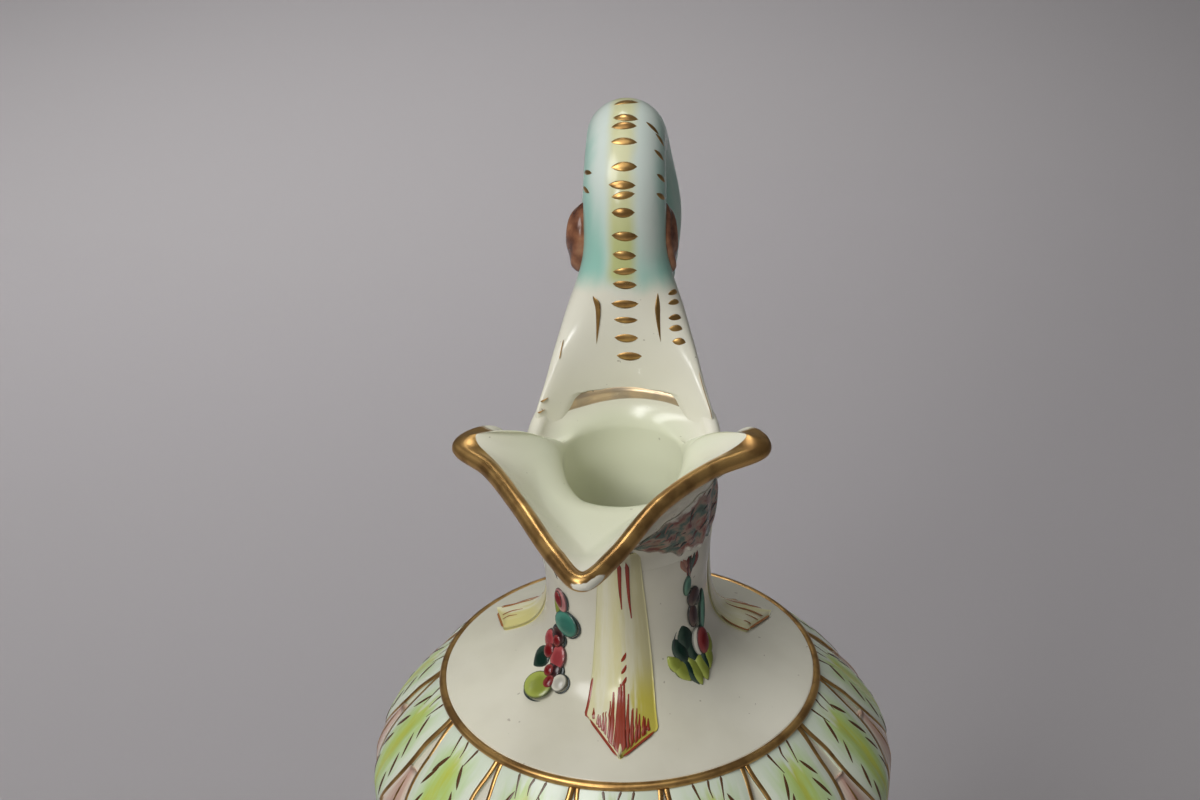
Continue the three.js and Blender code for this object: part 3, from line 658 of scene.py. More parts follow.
def neckOutline(s):
    plugTop = collarHeight + s["collarPitch"]
    plugEnd = plugTop - s["plugDepth"]
    sleeve = s["bore"] + s["sleeveWall"]
    rim, reach = s["collarRadius"], s["beadReach"]
    bead = bezier([(rim, collarTop - 0.25), (rim + reach * 0.9, collarTop + 0.55),
                   (rim + reach * 1.9, collarTop - 1.2), (rim + reach * 0.6, collarTop - s["beadDrop"])],
                  np.linspace(0, 1, 15))
    throat = bezier([(s["plugRadius"] - s["sleeveWall"], plugEnd), (s["bore"], plugTop),
                     (s["bore"], plugTop + 2 * s["plugDepth"]), (s["bore"], sleeveTop)],
                    np.linspace(0, 1, 24))
    plug = [(rim, collarHeight - 0.2), (s["plugRadius"], plugTop), (s["plugRadius"], plugEnd)]
    below = easeCorners(np.vstack([liftedOutline(neckPath, 90)[::-1], bead, plug, throat]), 0.3)
    seat = [(sleeve, sleeveTop), (sleeve, neckTop), (neckTopRadius, neckTop), (neckTopRadius, neckTop - 0.04)]
    return np.vstack([seat, below[1:], [(sleeve, sleeveTop)]])


def neckGilt(radius, height):
    rim = neckSizes["collarRadius"]
    return easeStep(radius, rim + 0.02, rim + 0.2) * (height > collarTop - 2 * neckSizes["beadDrop"])


showTurned("jugBody", bodyOutline(bodySizes), bodyGilt, bodySizes["rounds"], "body")
showTurned("jugNeck", neckOutline(neckSizes), neckGilt, neckSizes["rounds"], "neck")

# mouth

mouthSizes = {
    "wall": 4, "lipReach": 53.2, "lipRise": 19.2, "lipSkew": 5.6, "cheekSpread": 15.5, "cheekReach": 30,
    "cheekRise": 24, "lobeSpread": 34, "lobeReach": 9, "lobeRise": 26, "lobeCrest": 25.2, "rootSpread": 22.4,
    "rootRise": 18.6, "flankRise": 23.3, "crestDrop": 1.5, "backReach": 18.5, "backRise": 27,
    "wallReach": 8, "wallCurve": 1.6,            # raised walls along the channel
    "sillReach": 9, "sillRise": 6.6,             # rounded sill of the throat
    "floorFall": -0.05,                          # the floor from there to the lip
    "backSill": 7.8,                             # the throat's edge stands higher before the handle
    "boreEnd": 12,                               # how far below the seam the glaze lines the neck
    "armEnd": 0.27, "scoopFull": 0.7, "scoopEnd": 1.4,     # where the channel gives way to the funnel
    "giltInside": 3.9, "giltOutside": 3.3, "giltSoft": 0.12,   # gilding on both sides of the rim's crest
    "giltLobe": 4.4, "lobeShare": 0.262, "lobeSpan": 0.045,    # broader over the lobes
    "giltEnd": 0.299, "endSoft": 0.006,          # share of the rim where it runs out behind a lobe
    # gilded arc on the rim before the handle, rubbed thin
    "arcGap": 2.6, "arcDip": 1.1, "arcHalf": 2.0, "arcSpan": 0.058, "arcThin": 0.64,
    "wornAt": 1.6, "wornLong": 3.0, "wornBelow": 1.0, "wornWide": 1.3,   # worn spot at the tip
    # how strongly the lower throat takes the pooled glaze tint and painted shade
    "poolAndShade": 0.45,
}
backRim = mouthSeam + mouthSizes["backRise"]


def rimStations(s):
    # side, forward, rise, slope of the wall and the angle on the neck that it grows from
    cheek, lobe, root = s["cheekSpread"], s["lobeSpread"], s["rootSpread"]
    lipFar, cheekFar, lobeFar, backFar = s["lipReach"], s["cheekReach"], s["lobeReach"], -s["backReach"]
    rootFar = -0.2 * lobeFar
    return [
        (0, lipFar, s["lipRise"], 34, 0),
        (cheek * 0.4, blend(cheekFar, lipFar, 0.66), blend(s["lipRise"], s["cheekRise"], 0.2), 44, 14),
        (cheek, cheekFar, s["cheekRise"], 52, 38),
        (blend(cheek, lobe, 0.5), blend(cheekFar, lobeFar, 0.6),
         blend(s["cheekRise"], s["lobeRise"], 0.7), 38, 62),
        (lobe, lobeFar, s["lobeRise"], -24, 88),
        (blend(root, lobe, 0.62), lobeFar * 0.2, s["lobeCrest"], 12, 103),
        (root, rootFar, s["rootRise"], 50, 118),
        (root * 0.8, blend(rootFar, backFar, 0.65), s["flankRise"], 76, 146),
        (0, backFar, s["backRise"] - s["crestDrop"], 80, 180),
    ]


def rimControls(s):
    right = rimStations(s)
    whole = [(station, 1) for station in right] + [(station, -1) for station in right[-2:0:-1]]
    places, tilts = [], []
    for (side, forward, rise, flare, grows), way in whole:
        lean = -s["lipSkew"] * float(easeStep(forward, -s["lobeReach"] / 2, s["cheekReach"]))
        places.append((way * side + lean, -forward, mouthSeam + rise))
        angle = math.radians(grows) * way
        tilts.append((math.radians(flare), math.sin(angle), math.cos(angle)))
    return np.array(places), np.array(tilts)


rimPlaces, rimTilts = rimControls(mouthSizes)


def mouthWall(share):
    # control points of the outer and inner wall curves, and the rim's frame
    place = spline(rimPlaces, share, closed=True)
    tilt = spline(rimTilts, share, closed=True, even=True)
    angle = np.arctan2(tilt[..., 1], tilt[..., 2])
    along = alongSpline(rimPlaces, share, closed=True)
    level = unit(np.stack([along[..., 1], -along[..., 0], 0 * along[..., 0]], -1))
    rise = np.array([0, 0, 1.0])
    flare = level * np.cos(tilt[..., :1]) + rise * np.sin(tilt[..., :1])
    across = unit(np.cross(flare, along))
    half = mouthSizes["wall"] / 2
    outerEdge, innerEdge = place - across * half, place + across * half
    outerSeat = aroundAxis(neckTopRadius, angle, neckTop + 0.02)
    sill = mouthSizes["backSill"] * easeStep(np.abs(angle), 0.5, 1.8)
    innerSeat = aroundAxis(neckSizes["bore"] + 0.07 * sill, angle, sleeveTop + seamGap + sill)
    outerReach = np.linalg.norm(outerSeat - outerEdge, axis=-1, keepdims=True)
    innerReach = np.linalg.norm(innerSeat - innerEdge, axis=-1, keepdims=True)
    funnel = unit(aroundAxis(1, angle, np.ones_like(angle))) * [1, 1, 0]
    outer = [outerSeat, outerSeat + rise * outerReach * 0.5, outerEdge - flare * outerReach * 0.42, outerEdge]
    roll = np.array([0, 0, 0.35]) * innerReach + funnel * innerReach * 0.06
    inner = [innerEdge, innerEdge - flare * innerReach * 0.4, innerSeat + roll, innerSeat]
    return outer, inner, place, flare, across, angle


def shareFromLip(share):
    return np.where(share > 0.5, share - 1, share)


def insideRows(share, inner, angle, levels):
    # a plain funnel at the back, towards the lip a channel between raised walls
    s = mouthSizes
    edge, seat = inner[0], inner[-1]
    fromLip = shareFromLip(share)
    arms = [edge[(fromLip * way > -1e-6) & (np.abs(fromLip) < s["armEnd"])] for way in (1, -1)]
    front = easeStep(np.abs(angle), s["scoopEnd"], s["scoopFull"])[:, None]
    rows = []
    for level in levels:
        spot = blend(edge, seat, level ** 1.5)
        far = np.hypot(spot[:, 0], spot[:, 1]) - neckSizes["bore"]
        sill = np.clip(far / s["sillReach"], 0, 1)
        floor = (seat[:, 2] + s["sillRise"] * np.sqrt(1 - (1 - sill) ** 2)
                 - s["floorFall"] * np.maximum(far - s["sillReach"], 0))
        clear, weight, top = np.ones(len(share)), np.full(len(share), 1e-9), np.zeros(len(share))
        for arm in arms:
            gap = np.linalg.norm(spot[:, None, :2] - arm[None, :, :2], axis=2)
            wall = np.maximum(1 - gap.min(axis=1) / s["wallReach"], 0) ** s["wallCurve"]
            top += wall * arm[gap.argmin(axis=1), 2]
            weight += wall
            clear *= 1 - wall
        spot[:, 2] = floor + (top / weight - floor) * (1 - clear) * (weight > 1e-6)
        rows.append(blend(bezier(inner, np.full(len(share), level)), spot, front))
    return rows


def mouthMesh(s, rounds=640, wallSteps=40, noseSteps=15, liningSteps=18):
    share = np.arange(rounds) / rounds
    outer, inner, place, flare, across, angle = mouthWall(share)
    t = np.linspace(0, 1, wallSteps)
    rows = [bezier(outer, np.full(rounds, k)) for k in np.insert(t, 1, 0.003)]
    nose = np.linspace(0, math.pi, noseSteps)[1:-1]
    rows += [place + s["wall"] / 2 * (flare * math.sin(k) - across * math.cos(k)) for k in nose]
    rows += insideRows(share, inner, angle, t)
    sill = neckSizes["bore"] - 0.12                          # the glaze runs over the spigot's edge
    edge, boreEnd = rows[-1], neckTop - s["boreEnd"]
    for k in np.linspace(0, 1, liningSteps)[1:]:
        lining = aroundAxis(sill, angle, blend(edge[:, 2], boreEnd, k))
        rows.append(blend(edge * [1, 1, 0], lining * [1, 1, 0], easeStep(k, 0, 0.3)) + lining * [0, 0, 1])
    rows += [aroundAxis(neckSizes["bore"] + 1.2, angle, boreEnd),
             aroundAxis(rebateRadius - 0.8, angle, neckTop + 0.02)]
    points = np.stack(rows, 1)                               # round, section
    crest = wallSteps + 1 + len(nose) // 2
    run = runningLength(points, 1)
    rimGap = run - run[:, crest:crest + 1]                   # minus outside, plus inside
    fromLip, rimSpan = shareFromLip(share), runningLength(place)
    tipSpan = np.where(share > 0.5, rimSpan - rimSpan[-1], rimSpan)
    down = np.clip((np.arange(points.shape[1]) - crest) / wallSteps, 0, 1)
    toLobe = (np.abs(fromLip) - s["lobeShare"]) / s["lobeSpan"]
    giltIn = s["giltInside"] + s["giltLobe"] * np.exp(-toLobe ** 2)
    off = (0.5 - share) / s["arcSpan"]                       # plus towards the right end of the arc
    arcHalf = s["arcHalf"] * np.sqrt(np.maximum(1 - off ** 2, 0)) * (1 - 0.45 * off)
    arcFar = np.abs(rimGap - (s["arcGap"] + s["arcDip"] * off ** 2)[:, None]) - arcHalf[:, None]
    wide = np.ones(points.shape[1])
    marks = {
        "giltIn": giltIn[:, None] * wide, "rimGap": rimGap, "rimShare": np.abs(fromLip)[:, None] * wide,
        "arcFar": np.where(arcHalf[:, None] > 0.05, arcFar, 9), "tipSpan": tipSpan[:, None] * wide,
        "depth": np.ones((rounds, 1)) * down,
    }
    return makeMesh("jugMouth", points, gridFaces(rounds, points.shape[1], True, True),
                    marks={key: values.ravel() for key, values in marks.items()})


def mouthPaint(tree):
    s = mouthSizes
    soft, end = s["giltSoft"], s["endSoft"]
    waver = times(minus(noise(tree, 150, 3), 0.5), 0.9)
    gap = plus(mark(tree, "rimGap"), waver)
    outside = smooth(gap, -s["giltOutside"] - soft, -s["giltOutside"] + soft)
    inside = smooth(minus(gap, mark(tree, "giltIn")), soft, -soft)
    front = smooth(plus(mark(tree, "rimShare"), times(waver, 0.02)), s["giltEnd"] + end, s["giltEnd"] - end)
    # the worn spot at the tip
    tipFar = distance(over(minus(mark(tree, "tipSpan"), s["wornAt"]), s["wornLong"]),
                      over(plus(gap, s["wornBelow"]), s["wornWide"]))
    bare = smooth(plus(tipFar, times(noise(tree, 420, 3), 0.9)), 1.42, 1.26)
    arc = smooth(addScaled(waver, 0.4, mark(tree, "arcFar")), 0.1, -0.1)
    gilt = larger(times(outside, inside, front, minus(1.0, bare)), times(arc, s["arcThin"]))
    # deeper down the throat the glaze turns greener and darker: pooled glaze and painted shade
    poolAndShade = times(smooth(mark(tree, "depth"), 0.1, 0.9), s["poolAndShade"])
    return mixColours(poolAndShade, ivoryGlaze(tree), glazeLook["poolAndShade"]), gilt


showPiece("jugMouth", mouthMesh(mouthSizes), "porcelain", "mouth", material=glazed("mouthGlaze", mouthPaint))

# handle

handleSizes = {
    "saddleWidth": 20.5, "saddleDepth": 6, "saddleWrap": 14, "saddleDrop": 20, "saddleLip": 2,
    "saddleRise": 28, "columnLean": 11, "columnWidth": 10, "columnDepth": 9.5, "archRise": 51.4,
    "archReach": 44, "archWidth": 9.2, "limbReach": 55, "limbRise": 26, "limbWidth": 12,
    "tailInset": 9, "tailWidth": 7.5, "tailDepth": 6.5, "tailFlare": 2.5,
    "runOut": 0.075,                             # share over which the saddle sinks into the mouth's wall
    "wallKeep": 18.4,                            # radius inside the mouth's wall that the saddle stays out of
}


def handleStations(s):
    # back, height, half width, half depth and how far the sides bend forward
    back, wrap = mouthSizes["backReach"], s["saddleWrap"]
    column, saddle = back + s["columnLean"], back + s["saddleDepth"]
    tail = neckSizes["collarRadius"] - s["tailInset"]
    arch, limb = s["archReach"], s["limbReach"]
    broad, deep = s["saddleWidth"], s["saddleDepth"]
    wide, thick = s["columnWidth"], s["columnDepth"]
    slim, thin = s["tailWidth"], s["tailDepth"]
    return np.array([
        (neckTopRadius - deep + s["saddleLip"], backRim - s["saddleDrop"], broad, deep, wrap * 0.72),
        (blend(back, saddle, 0.6), backRim - s["saddleDrop"] * 0.33, broad, deep, wrap * 0.93),
        (saddle, backRim + s["saddleRise"] * 0.15, blend(wide, broad, 0.72), blend(deep, thick, 0.3),
         wrap * 0.64),
        (blend(saddle, column, 0.5), backRim + s["saddleRise"] * 0.56, blend(wide, broad, 0.38),
         blend(deep, thick, 0.7), wrap * 0.28),
        (column, backRim + s["saddleRise"], wide, thick, 0),
        (blend(column, arch, 0.32), backRim + blend(s["saddleRise"], s["archRise"], 0.7),
         blend(wide, s["archWidth"], 0.5), thick, 0),
        (arch, backRim + s["archRise"], s["archWidth"], blend(thick, thin, 0.2), 0),
        (blend(arch, limb, 0.92), backRim + blend(s["limbRise"], s["archRise"], 0.62), wide, thick, 0),
        (limb, backRim + s["limbRise"], s["limbWidth"], thick, 0),
        (blend(tail, limb, 0.75), backRim, blend(slim, wide, 0.5), thin, 0),
        (blend(tail, limb, 0.36), blend(collarTop, backRim, 0.48), slim, thin, 0),
        (blend(tail, limb, 0.08), blend(collarTop, backRim, 0.2), slim, thin, 0),
        (tail, collarHeight - thin / 2, slim + s["tailFlare"], thin + s["tailFlare"], 0),
    ])


stations = handleStations(handleSizes)
handleSpine = np.column_stack([np.zeros(len(stations)), stations[:, :2]])


def handleGirth(share):
    return spline(stations[:, 2:], share, even=True)


def onHandle(share, turn, lift=0.0):
    # share of its length, turn from +X by way of the front
    share, turn = np.broadcast_arrays(np.asarray(share, float), np.asarray(turn, float))
    middle = spline(handleSpine, share)
    along = alongSpline(handleSpine, share)
    front = np.stack([0 * along[..., 0], -along[..., 2], along[..., 1]], -1)
    size = handleGirth(share)
    forward = (size[..., 1] + lift) * np.sin(turn) + np.maximum(size[..., 2], 0) * np.cos(turn) ** 2
    place = middle + front * forward[..., None]
    place[..., 0] = (size[..., 0] + lift) * np.cos(turn)
    return place


def handleMesh(s, steps=460, sides=128):
    share, turn = np.meshgrid(np.linspace(0, 1, steps), np.arange(sides) / sides * math.tau, indexing="ij")
    points = onHandle(share, turn)
    # the saddle ends inside the mouth's wall, the tail inside the collar
    radius = np.hypot(points[..., 0], points[..., 1])
    keep = s["wallKeep"] / np.maximum(radius, 1e-6)
    inside = (points[..., 2] < backRim - 0.5) & (radius < s["wallKeep"])
    points[..., :2] *= np.where(inside, keep, 1.0)[..., None]
    sink = easeStep(share, s["runOut"], 0) * np.clip(1 - keep, 0, 1)
    points[..., :2] *= 1 - sink[..., None]
    points[..., 2] = np.maximum(points[..., 2], collarHeight + 1.0)
    ends = points[[0, -1]].mean(axis=1)
    ends[0, 1] = s["wallKeep"]
    marks = {"share": np.append(share, [0, 1]), "side": np.append(np.cos(turn), [0, 0]),
             "front": np.append(np.sin(turn), [0, 0])}
    points = np.vstack([points.reshape(-1, 3), ends])
    return makeMesh("jugHandle", points, tubeFaces(steps, sides), marks=marks)


handleLook = {
    "turquoise": rgb(158, 208, 192), "mint": rgb(217, 228, 219), "yellow": rgb(218, 215, 160),
    "olive": rgb(192, 196, 116),
    "fadeLow": 0.283, "fadeHigh": 0.325,         # where the white root turns turquoise
    "tailLow": 0.86, "tailHigh": 0.95,           # and white again above the collar
    "stripeHalf": 0.46, "stripeFull": 0.14, "stripeLow": 0.295, "stripeHigh": 0.325, "stripeShare": 0.85,
}


def handlePaint(tree):
    look = handleLook
    share, side, front = (mark(tree, key) for key in ("share", "side", "front"))
    brush = minus(noise(tree, 90, 4, stretch=(1.6, 1.6, 0.5)), 0.5)
    wet = plus(share, times(brush, 0.035))
    painted = times(smooth(wet, look["fadeLow"], look["fadeHigh"]),
                    smooth(wet, look["tailHigh"], look["tailLow"]))
    edge = smooth(plus(absolute(side), times(brush, 0.7)), 0.6, 1.1)
    climb = addScaled(side, 0.04, minus(wet, times(edge, 0.05)))
    low = times(smooth(climb, 0.4, 0.31), smooth(absolute(plus(side, 0.05)), 0.1, 0.55))
    depth = larger(larger(times(edge, 0.75), low), smooth(front, 0.0, -0.8))
    colour = mixColours(painted, ivoryGlaze(tree), mixColours(depth, look["mint"], look["turquoise"]))
    # yellow stripe up the front, under the gilt ticks
    offset = absolute(plus(side, plus(0.03, times(brush, 0.2))))
    stripe = times(smooth(offset, look["stripeHalf"], look["stripeFull"]), smooth(front, 0.3, 0.7),
                   times(smooth(wet, look["stripeLow"], look["stripeHigh"]), look["stripeShare"]))
    yellow = mixColours(smooth(wet, 0.42, 0.35), look["yellow"], look["olive"])
    return mixColours(stripe, colour, yellow), None


showPiece("jugHandle", handleMesh(handleSizes), "handle_glaze", "handle",
          material=glazed("handleGlaze", handlePaint))

# places are shares of the handle's length and degrees round it; a dash has a length, a width and a slant
handleMarks = {
    "ticks": (0.4986, 0.4793, 0.4703, 0.4531, 0.4262, 0.4103, 0.4028, 0.389, 0.3676, 0.3469, 0.3248,
              0.3055, 0.2745, 0.2462, 0.2145, 0.1821),
    "backTicks": np.linspace(0.53, 0.85, 15), "tickLength": 5.9, "tickWidth": 2.15, "widths": (0.8, 1.1),
    "tickAim": (88, 1.2, 0.9, 1.08, 0.0008),     # middle, stray, shortest and longest share, slant
    "backAim": (90, 1.5, 0.85, 1.05, 0.001),
    "tears": (((0.2855, 126), (0.2566, 117), (0.2041, 114)), ((0.2897, 49), (0.2476, 55), (0.2083, 58))),
    "tearWidth": 2.5,
    "rootTicks": ((0.284, 22), (0.27, 27), (0.247, 33), (0.23, 36), (0.209, 36)),
    "rootTick": (5.2, 2.0, 0.001),
    "rootDashes": ((0.114, 162), (0.085, 161), (0.061, 166), (0.039, 174)), "rootDash": (5.0, 1.8, -0.004),
    "edgeLines": (((0.163, 13), (0.112, 12), (0.069, 11)), ((0.212, 155), (0.197, 154), (0.181, 153))),
    "edgeWidth": 0.8,
    "flankDashes": ((0.476, 44), (0.468, 26), (0.447, 29), (0.419, 24), (0.401, 25), (0.4255, 151),
                    (0.4076, 156)),
    "flankDash": (4.2, 1.2, 0.003),
}


def handleStrokes(s):
    strokes = newStrokes()

    def surface(share, degrees, lift):
        return onHandle(share, np.radians(degrees), lift)

    def dash(share, degrees, length, width, slant):
        reach = math.degrees(length / 2 / float(handleGirth(np.array(share))[0]))
        addStroke(strokes, surface, [(share - slant, degrees - reach), (share, degrees),
                                     (share + slant, degrees + reach)], width)

    def tick(share, middle, stray, shortest, longest, slant):
        dash(share, middle + hand.normal(0, stray), s["tickLength"] * hand.uniform(shortest, longest),
             s["tickWidth"] * hand.uniform(*s["widths"]), hand.normal(0, slant))

    for share in s["ticks"]:
        tick(share, *s["tickAim"])
    for share in s["backTicks"]:
        tick(share, *s["backAim"])
    for spots in s["tears"]:
        addStroke(strokes, surface, spots, s["tearWidth"], "drop", steps=16)
    for place in s["rootTicks"]:
        dash(*place, *s["rootTick"])
    for place in s["rootDashes"]:
        dash(*place, *s["rootDash"])
    for spots in s["edgeLines"]:
        addStroke(strokes, surface, spots, s["edgeWidth"], "line", steps=16)
    for place in s["flankDashes"]:
        dash(*place, *s["flankDash"])
    return strokes


showStrokes("handleGilding", handleStrokes(handleMarks), gilding, "handle_glaze")

# scrolls on the column

scrollSizes = {"radius": 8.7, "height": 5.0, "rightHeight": 3.0, "turns": 1.7, "ridge": 0.3, "rise": 31.6,
               "setBack": 5.2, "squeeze": 0.8, "sunk": 0.4}
scrollLook = ((0.3, 92, 56, 40), (0.55, 140, 92, 66), (0.75, 172, 124, 90))


def columnShareAt(height):
    share = np.linspace(0, 0.5, 2000)
    return np.interp(height, spline(handleSpine, share)[:, 2], share)


def scrollMesh(name, s, way, rings=40, sides=96):
    # a volute boss: a low dome with a spiral ridge, sunk a little into the column's side
    reach, turn = np.meshgrid(np.linspace(1, 0.02, rings), np.arange(sides) / sides * math.tau, indexing="ij")
    share = columnShareAt(backRim + s["rise"] + s["radius"] * reach * np.sin(turn))
    girth = (s["radius"] * s["squeeze"] * reach * np.cos(turn) - s["setBack"]) / handleSizes["columnDepth"]
    spiral = np.cos(reach * s["turns"] * math.tau - turn + 1.0)
    height = s["height"] if way < 0 else s["rightHeight"]
    ridge = s["ridge"] * spiral * easeStep(1 - reach, 0.02, 0.2)
    lift = height * (1 - reach ** 3.2) ** 0.55 + ridge - s["sunk"]
    points = onHandle(share, girth if way > 0 else math.pi - girth, lift)
    count = rings * sides
    faces = gridFaces(rings, sides, ringColumns=True).tolist()
    faces += [list(range(sides))[::-1], list(range(count - sides, count))]
    if way < 0:
        faces = [f[::-1] for f in faces]
    return makeMesh(name, points, faces, marks={"spiral": spiral.ravel()})


def scrollPaint(tree):
    # random brown patches, lighter on the spiral's crests and darker in its grooves: painted highlight and
    # shade
    return ramp(plus(noise(tree, 300, 4), times(mark(tree, "spiral"), 0.12)), scrollLook), None


scrollGlaze = glazed("scrollPaint", scrollPaint)
for way, name in zip(bothSides, ("Left", "Right")):
    showPiece("handleScroll" + name, scrollMesh("handleScroll" + name, scrollSizes, way), "scroll_paint",
              "handle_scroll_" + name.lower(), material=scrollGlaze)

# shoulder leaves and bracts

leafSizes = {"count": 14, "length": 37, "fullShare": 0.3, "thickness": 1.6, "parting": 0.35, "outline": 1.15,
             "pinch": 0.13, "pinchEnd": 11,               # the sides draw in below the band
             "outlineAt": 0.955, "outlineLift": -0.1, "outlineFlat": 0.55, "dashFlat": 0.2}
bractSizes = {"length": 34, "thickness": 1.0, "firstShare": 0.42, "girth": 0.62, "outlineAt": 0.93,
              "outlineLift": -0.05, "outlineFlat": 0.35}
halfPitch = math.pi / leafSizes["count"]
leafTop = bodyLength - 2 * seamGap


def leafHalfAngle(below):
    s = leafSizes
    full = halfPitch - s["parting"] / onPath(bodyPath, leafTop - below)[0]
    taper = np.maximum(np.minimum(below / s["length"], 0.995) - s["fullShare"], 0) / (1 - s["fullShare"])
    return full * (1 - s["pinch"] * easeStep(below, 0.5, s["pinchEnd"])) * np.cos(taper * math.pi / 2) ** 0.8


def onLeaf(down, across, lift=0.0, top=1.0):
    s = leafSizes
    below = np.asarray(down, float) * s["length"]
    swell = np.minimum(0.5 + 2 * down, 1) * (1 - 0.3 * down)
    rib = s["thickness"] * swell * (1 - 0.45 * across ** 2) * (1 - 0.35 * np.abs(across) ** 8)
    hollow = 0.22 * np.exp(-(across / 0.16) ** 2) * np.sin(np.pi * np.clip(down, 0, 1))
    height = np.where(top > 0.5, seamGap + rib - hollow + lift, sunk)
    return onTurned(bodyPath, leafTop - below, across * leafHalfAngle(below), height)


def onBract(down, across, lift=0.0, top=1.0):
    s = bractSizes
    down, across = np.broadcast_arrays(np.asarray(down, float), np.asarray(across, float))
    below = leafSizes["length"] * s["firstShare"] + down * s["length"]
    room = halfPitch - leafHalfAngle(below) - leafSizes["parting"] / onPath(bodyPath, leafTop - below)[0]
    own = halfPitch * s["girth"] * np.sqrt(1 - np.minimum(down, 0.995))
    half = np.where(below < leafSizes["length"], np.minimum(room, own), own)
    height = np.where(top > 0.5, seamGap + s["thickness"] * (1 - 0.4 * np.abs(across)) + lift, sunk)
    return onTurned(bodyPath, leafTop - below, across * half, height)


leafLook = {
    "wash": ((0.0, 190, 200, 88), (0.22, 184, 208, 124), (0.5, 198, 218, 170), (0.8, 220, 228, 208)),
    "root": rgb(216, 226, 206), "dash": rgb(92, 62, 34),
    "bract": ((0.05, 190, 152, 136), (0.5, 208, 180, 162), (0.95, 226, 212, 194)),
}


def leafPaint(tree):
    across, down = mark(tree, "across"), mark(tree, "down")
    streak = streaks(tree, 6, across, down, 0.55)
    wash = ramp(plus(absolute(across), times(streak, 0.75)), leafLook["wash"])
    return mixColours(smooth(plus(down, times(streak, 0.5)), 0.22, 0.02), wash, leafLook["root"]), None


def bractPaint(tree):
    across = mark(tree, "across")
    streak = streaks(tree, 5, across, mark(tree, "down"), 0.6)
    return ramp(plus(absolute(across), times(streak, 0.7)), leafLook["bract"]), None


def showRing(name, title, surface, rows, columns, first, paint):
    plate = plateMesh(title + "Unit", rows, columns, surface, "down")
    material = glazed(title + "Paint", paint)
    ring = ringOfUnits(name, plate, leafSizes["count"], first, material)
    nodes = [f"shoulder_{title}_{k + 1:02d}" for k in range(leafSizes["count"])]
    showPiece(name, ring, title + "_paint", *nodes)


showRing("shoulderLeaves", "leaf", onLeaf, 44, 31, 0.0, leafPaint)
showRing("shoulderBracts", "bract", onBract, 30, 15, halfPitch, bractPaint)


def leafOutlines(s):
    strokes = newStrokes()
    down = np.linspace(0, 0.992, 40)
    for k in range(s["count"]):
        for side in bothSides:
            girth = s["outline"] / 2 * hand.uniform(0.85, 1.15) * (1.25 - 0.45 * down)
            across = np.full(len(down), side * s["outlineAt"])
            addLine(strokes, turnedBy(onLeaf, 2 * halfPitch * k), down, across, girth, lift=s["outlineLift"])
    return strokes


dashSizes = {
    "rows": 4, "first": 0.13, "pitch": 0.165, "stray": 0.018, "span": (0.14, 0.19),      # down the leaf
    "inner": 0.3, "widen": 0.06, "innerStray": 0.03, "bend": 0.13, "reach": 0.27,        # out from its middle
    "width": (0.9, 1.3),
    "veins": ((0.01, 0.36), (0.08, 0.31), (0.17, 0.25)), "veinWidth": 0.75,
    "stem": ((0.07, 0.0), (0.13, 0.02)), "stemStart": 0.01, "stemStray": 0.06, "stemWidth": 0.7,
}


def leafDashes(s):
    strokes = newStrokes()
    for k in range(leafSizes["count"]):
        draw = partial(addStroke, strokes, turnedBy(onLeaf, 2 * halfPitch * k), tint=leafLook["dash"])
        for side in bothSides:
            for row in range(s["rows"]):
                start = s["first"] + s["pitch"] * row + hand.normal(0, s["stray"])
                inner = s["inner"] + s["widen"] * row + hand.normal(0, s["innerStray"])
                span = hand.uniform(*s["span"])
                spots = [(start, side * inner), (start + span * 0.5, side * (inner + s["bend"])),
                         (start + span, side * (inner + s["reach"]))]
                draw(spots, hand.uniform(*s["width"]))
            draw([(down, side * across) for down, across in s["veins"]], s["veinWidth"], "tail")
        draw([(s["stemStart"], hand.normal(0, s["stemStray"])), *s["stem"]], s["stemWidth"], "tail")
    return strokes


def bractVeins(s):
    strokes = newStrokes()
    down = np.linspace(0.36, 0.985, 24)
    for k in range(leafSizes["count"]):
        bract = turnedBy(onBract, 2 * halfPitch * (k + 0.5))
        addStroke(strokes, bract, [(0.06, 0.0), (0.3, 0.04), (0.62, 0.0)], 0.9, "drop", steps=16)
        for side in bothSides:
            across = np.full(len(down), side * s["outlineAt"])
            addLine(strokes, bract, down, across, 0.42 * (1.1 - 0.4 * down), lift=s["outlineLift"])
    return strokes


showStrokes("leafOutlines", leafOutlines(leafSizes), gilding, "leaf_paint", leafSizes["outlineFlat"])
showStrokes("leafDashes", leafDashes(dashSizes), enamel, "leaf_paint", leafSizes["dashFlat"])
showStrokes("bractVeins", bractVeins(bractSizes), gilding, "bract_paint", bractSizes["outlineFlat"])

# pendant leaves on the neck

pendantSizes = {"count": 3, "topWidth": 4.6, "width": 8.7, "cornerLeft": 10.6, "cornerRight": 7.2, "tip": 5.8,
                "thickness": 2.6, "gap": 0.15, "above": 6}    # above: how far it runs up under the lip
pendantPath = (np.vstack([neckPath[0], [(neckTopRadius, neckTop + pendantSizes["above"])]]),
               np.append(neckPath[1], neckLength + pendantSizes["above"]))
pendantLength = neckLength + pendantSizes["above"] - pendantSizes["tip"]


def pendantHalf(row, across):
    s = pendantSizes
    corner = np.where(across < 0, s["cornerLeft"], s["cornerRight"]) / pendantLength
    toTip = np.maximum(1 - row / corner, 0)
    toTop = np.maximum((row - corner) / (1 - corner), 0)
    return blend(s["width"], s["topWidth"], toTop ** 0.7) * (1 - 0.98 * toTip ** 0.88)


def onPendant(row, across, lift=0.0, top=1.0):
    s = pendantSizes
    row, across = np.broadcast_arrays(np.asarray(row, float), np.asarray(across, float))
    along = s["tip"] + row * pendantLength
    ridge = s["thickness"] * (1 - 0.88 * np.abs(across) ** 1.4) * (0.6 + 0.4 * easeStep(row, 0, 0.2))
    height = np.where(top > 0.5, s["gap"] + ridge + lift, sunk)
    angle = across * pendantHalf(row, across) / onPath(pendantPath, along)[0]
    return onTurned(pendantPath, along, angle, height)


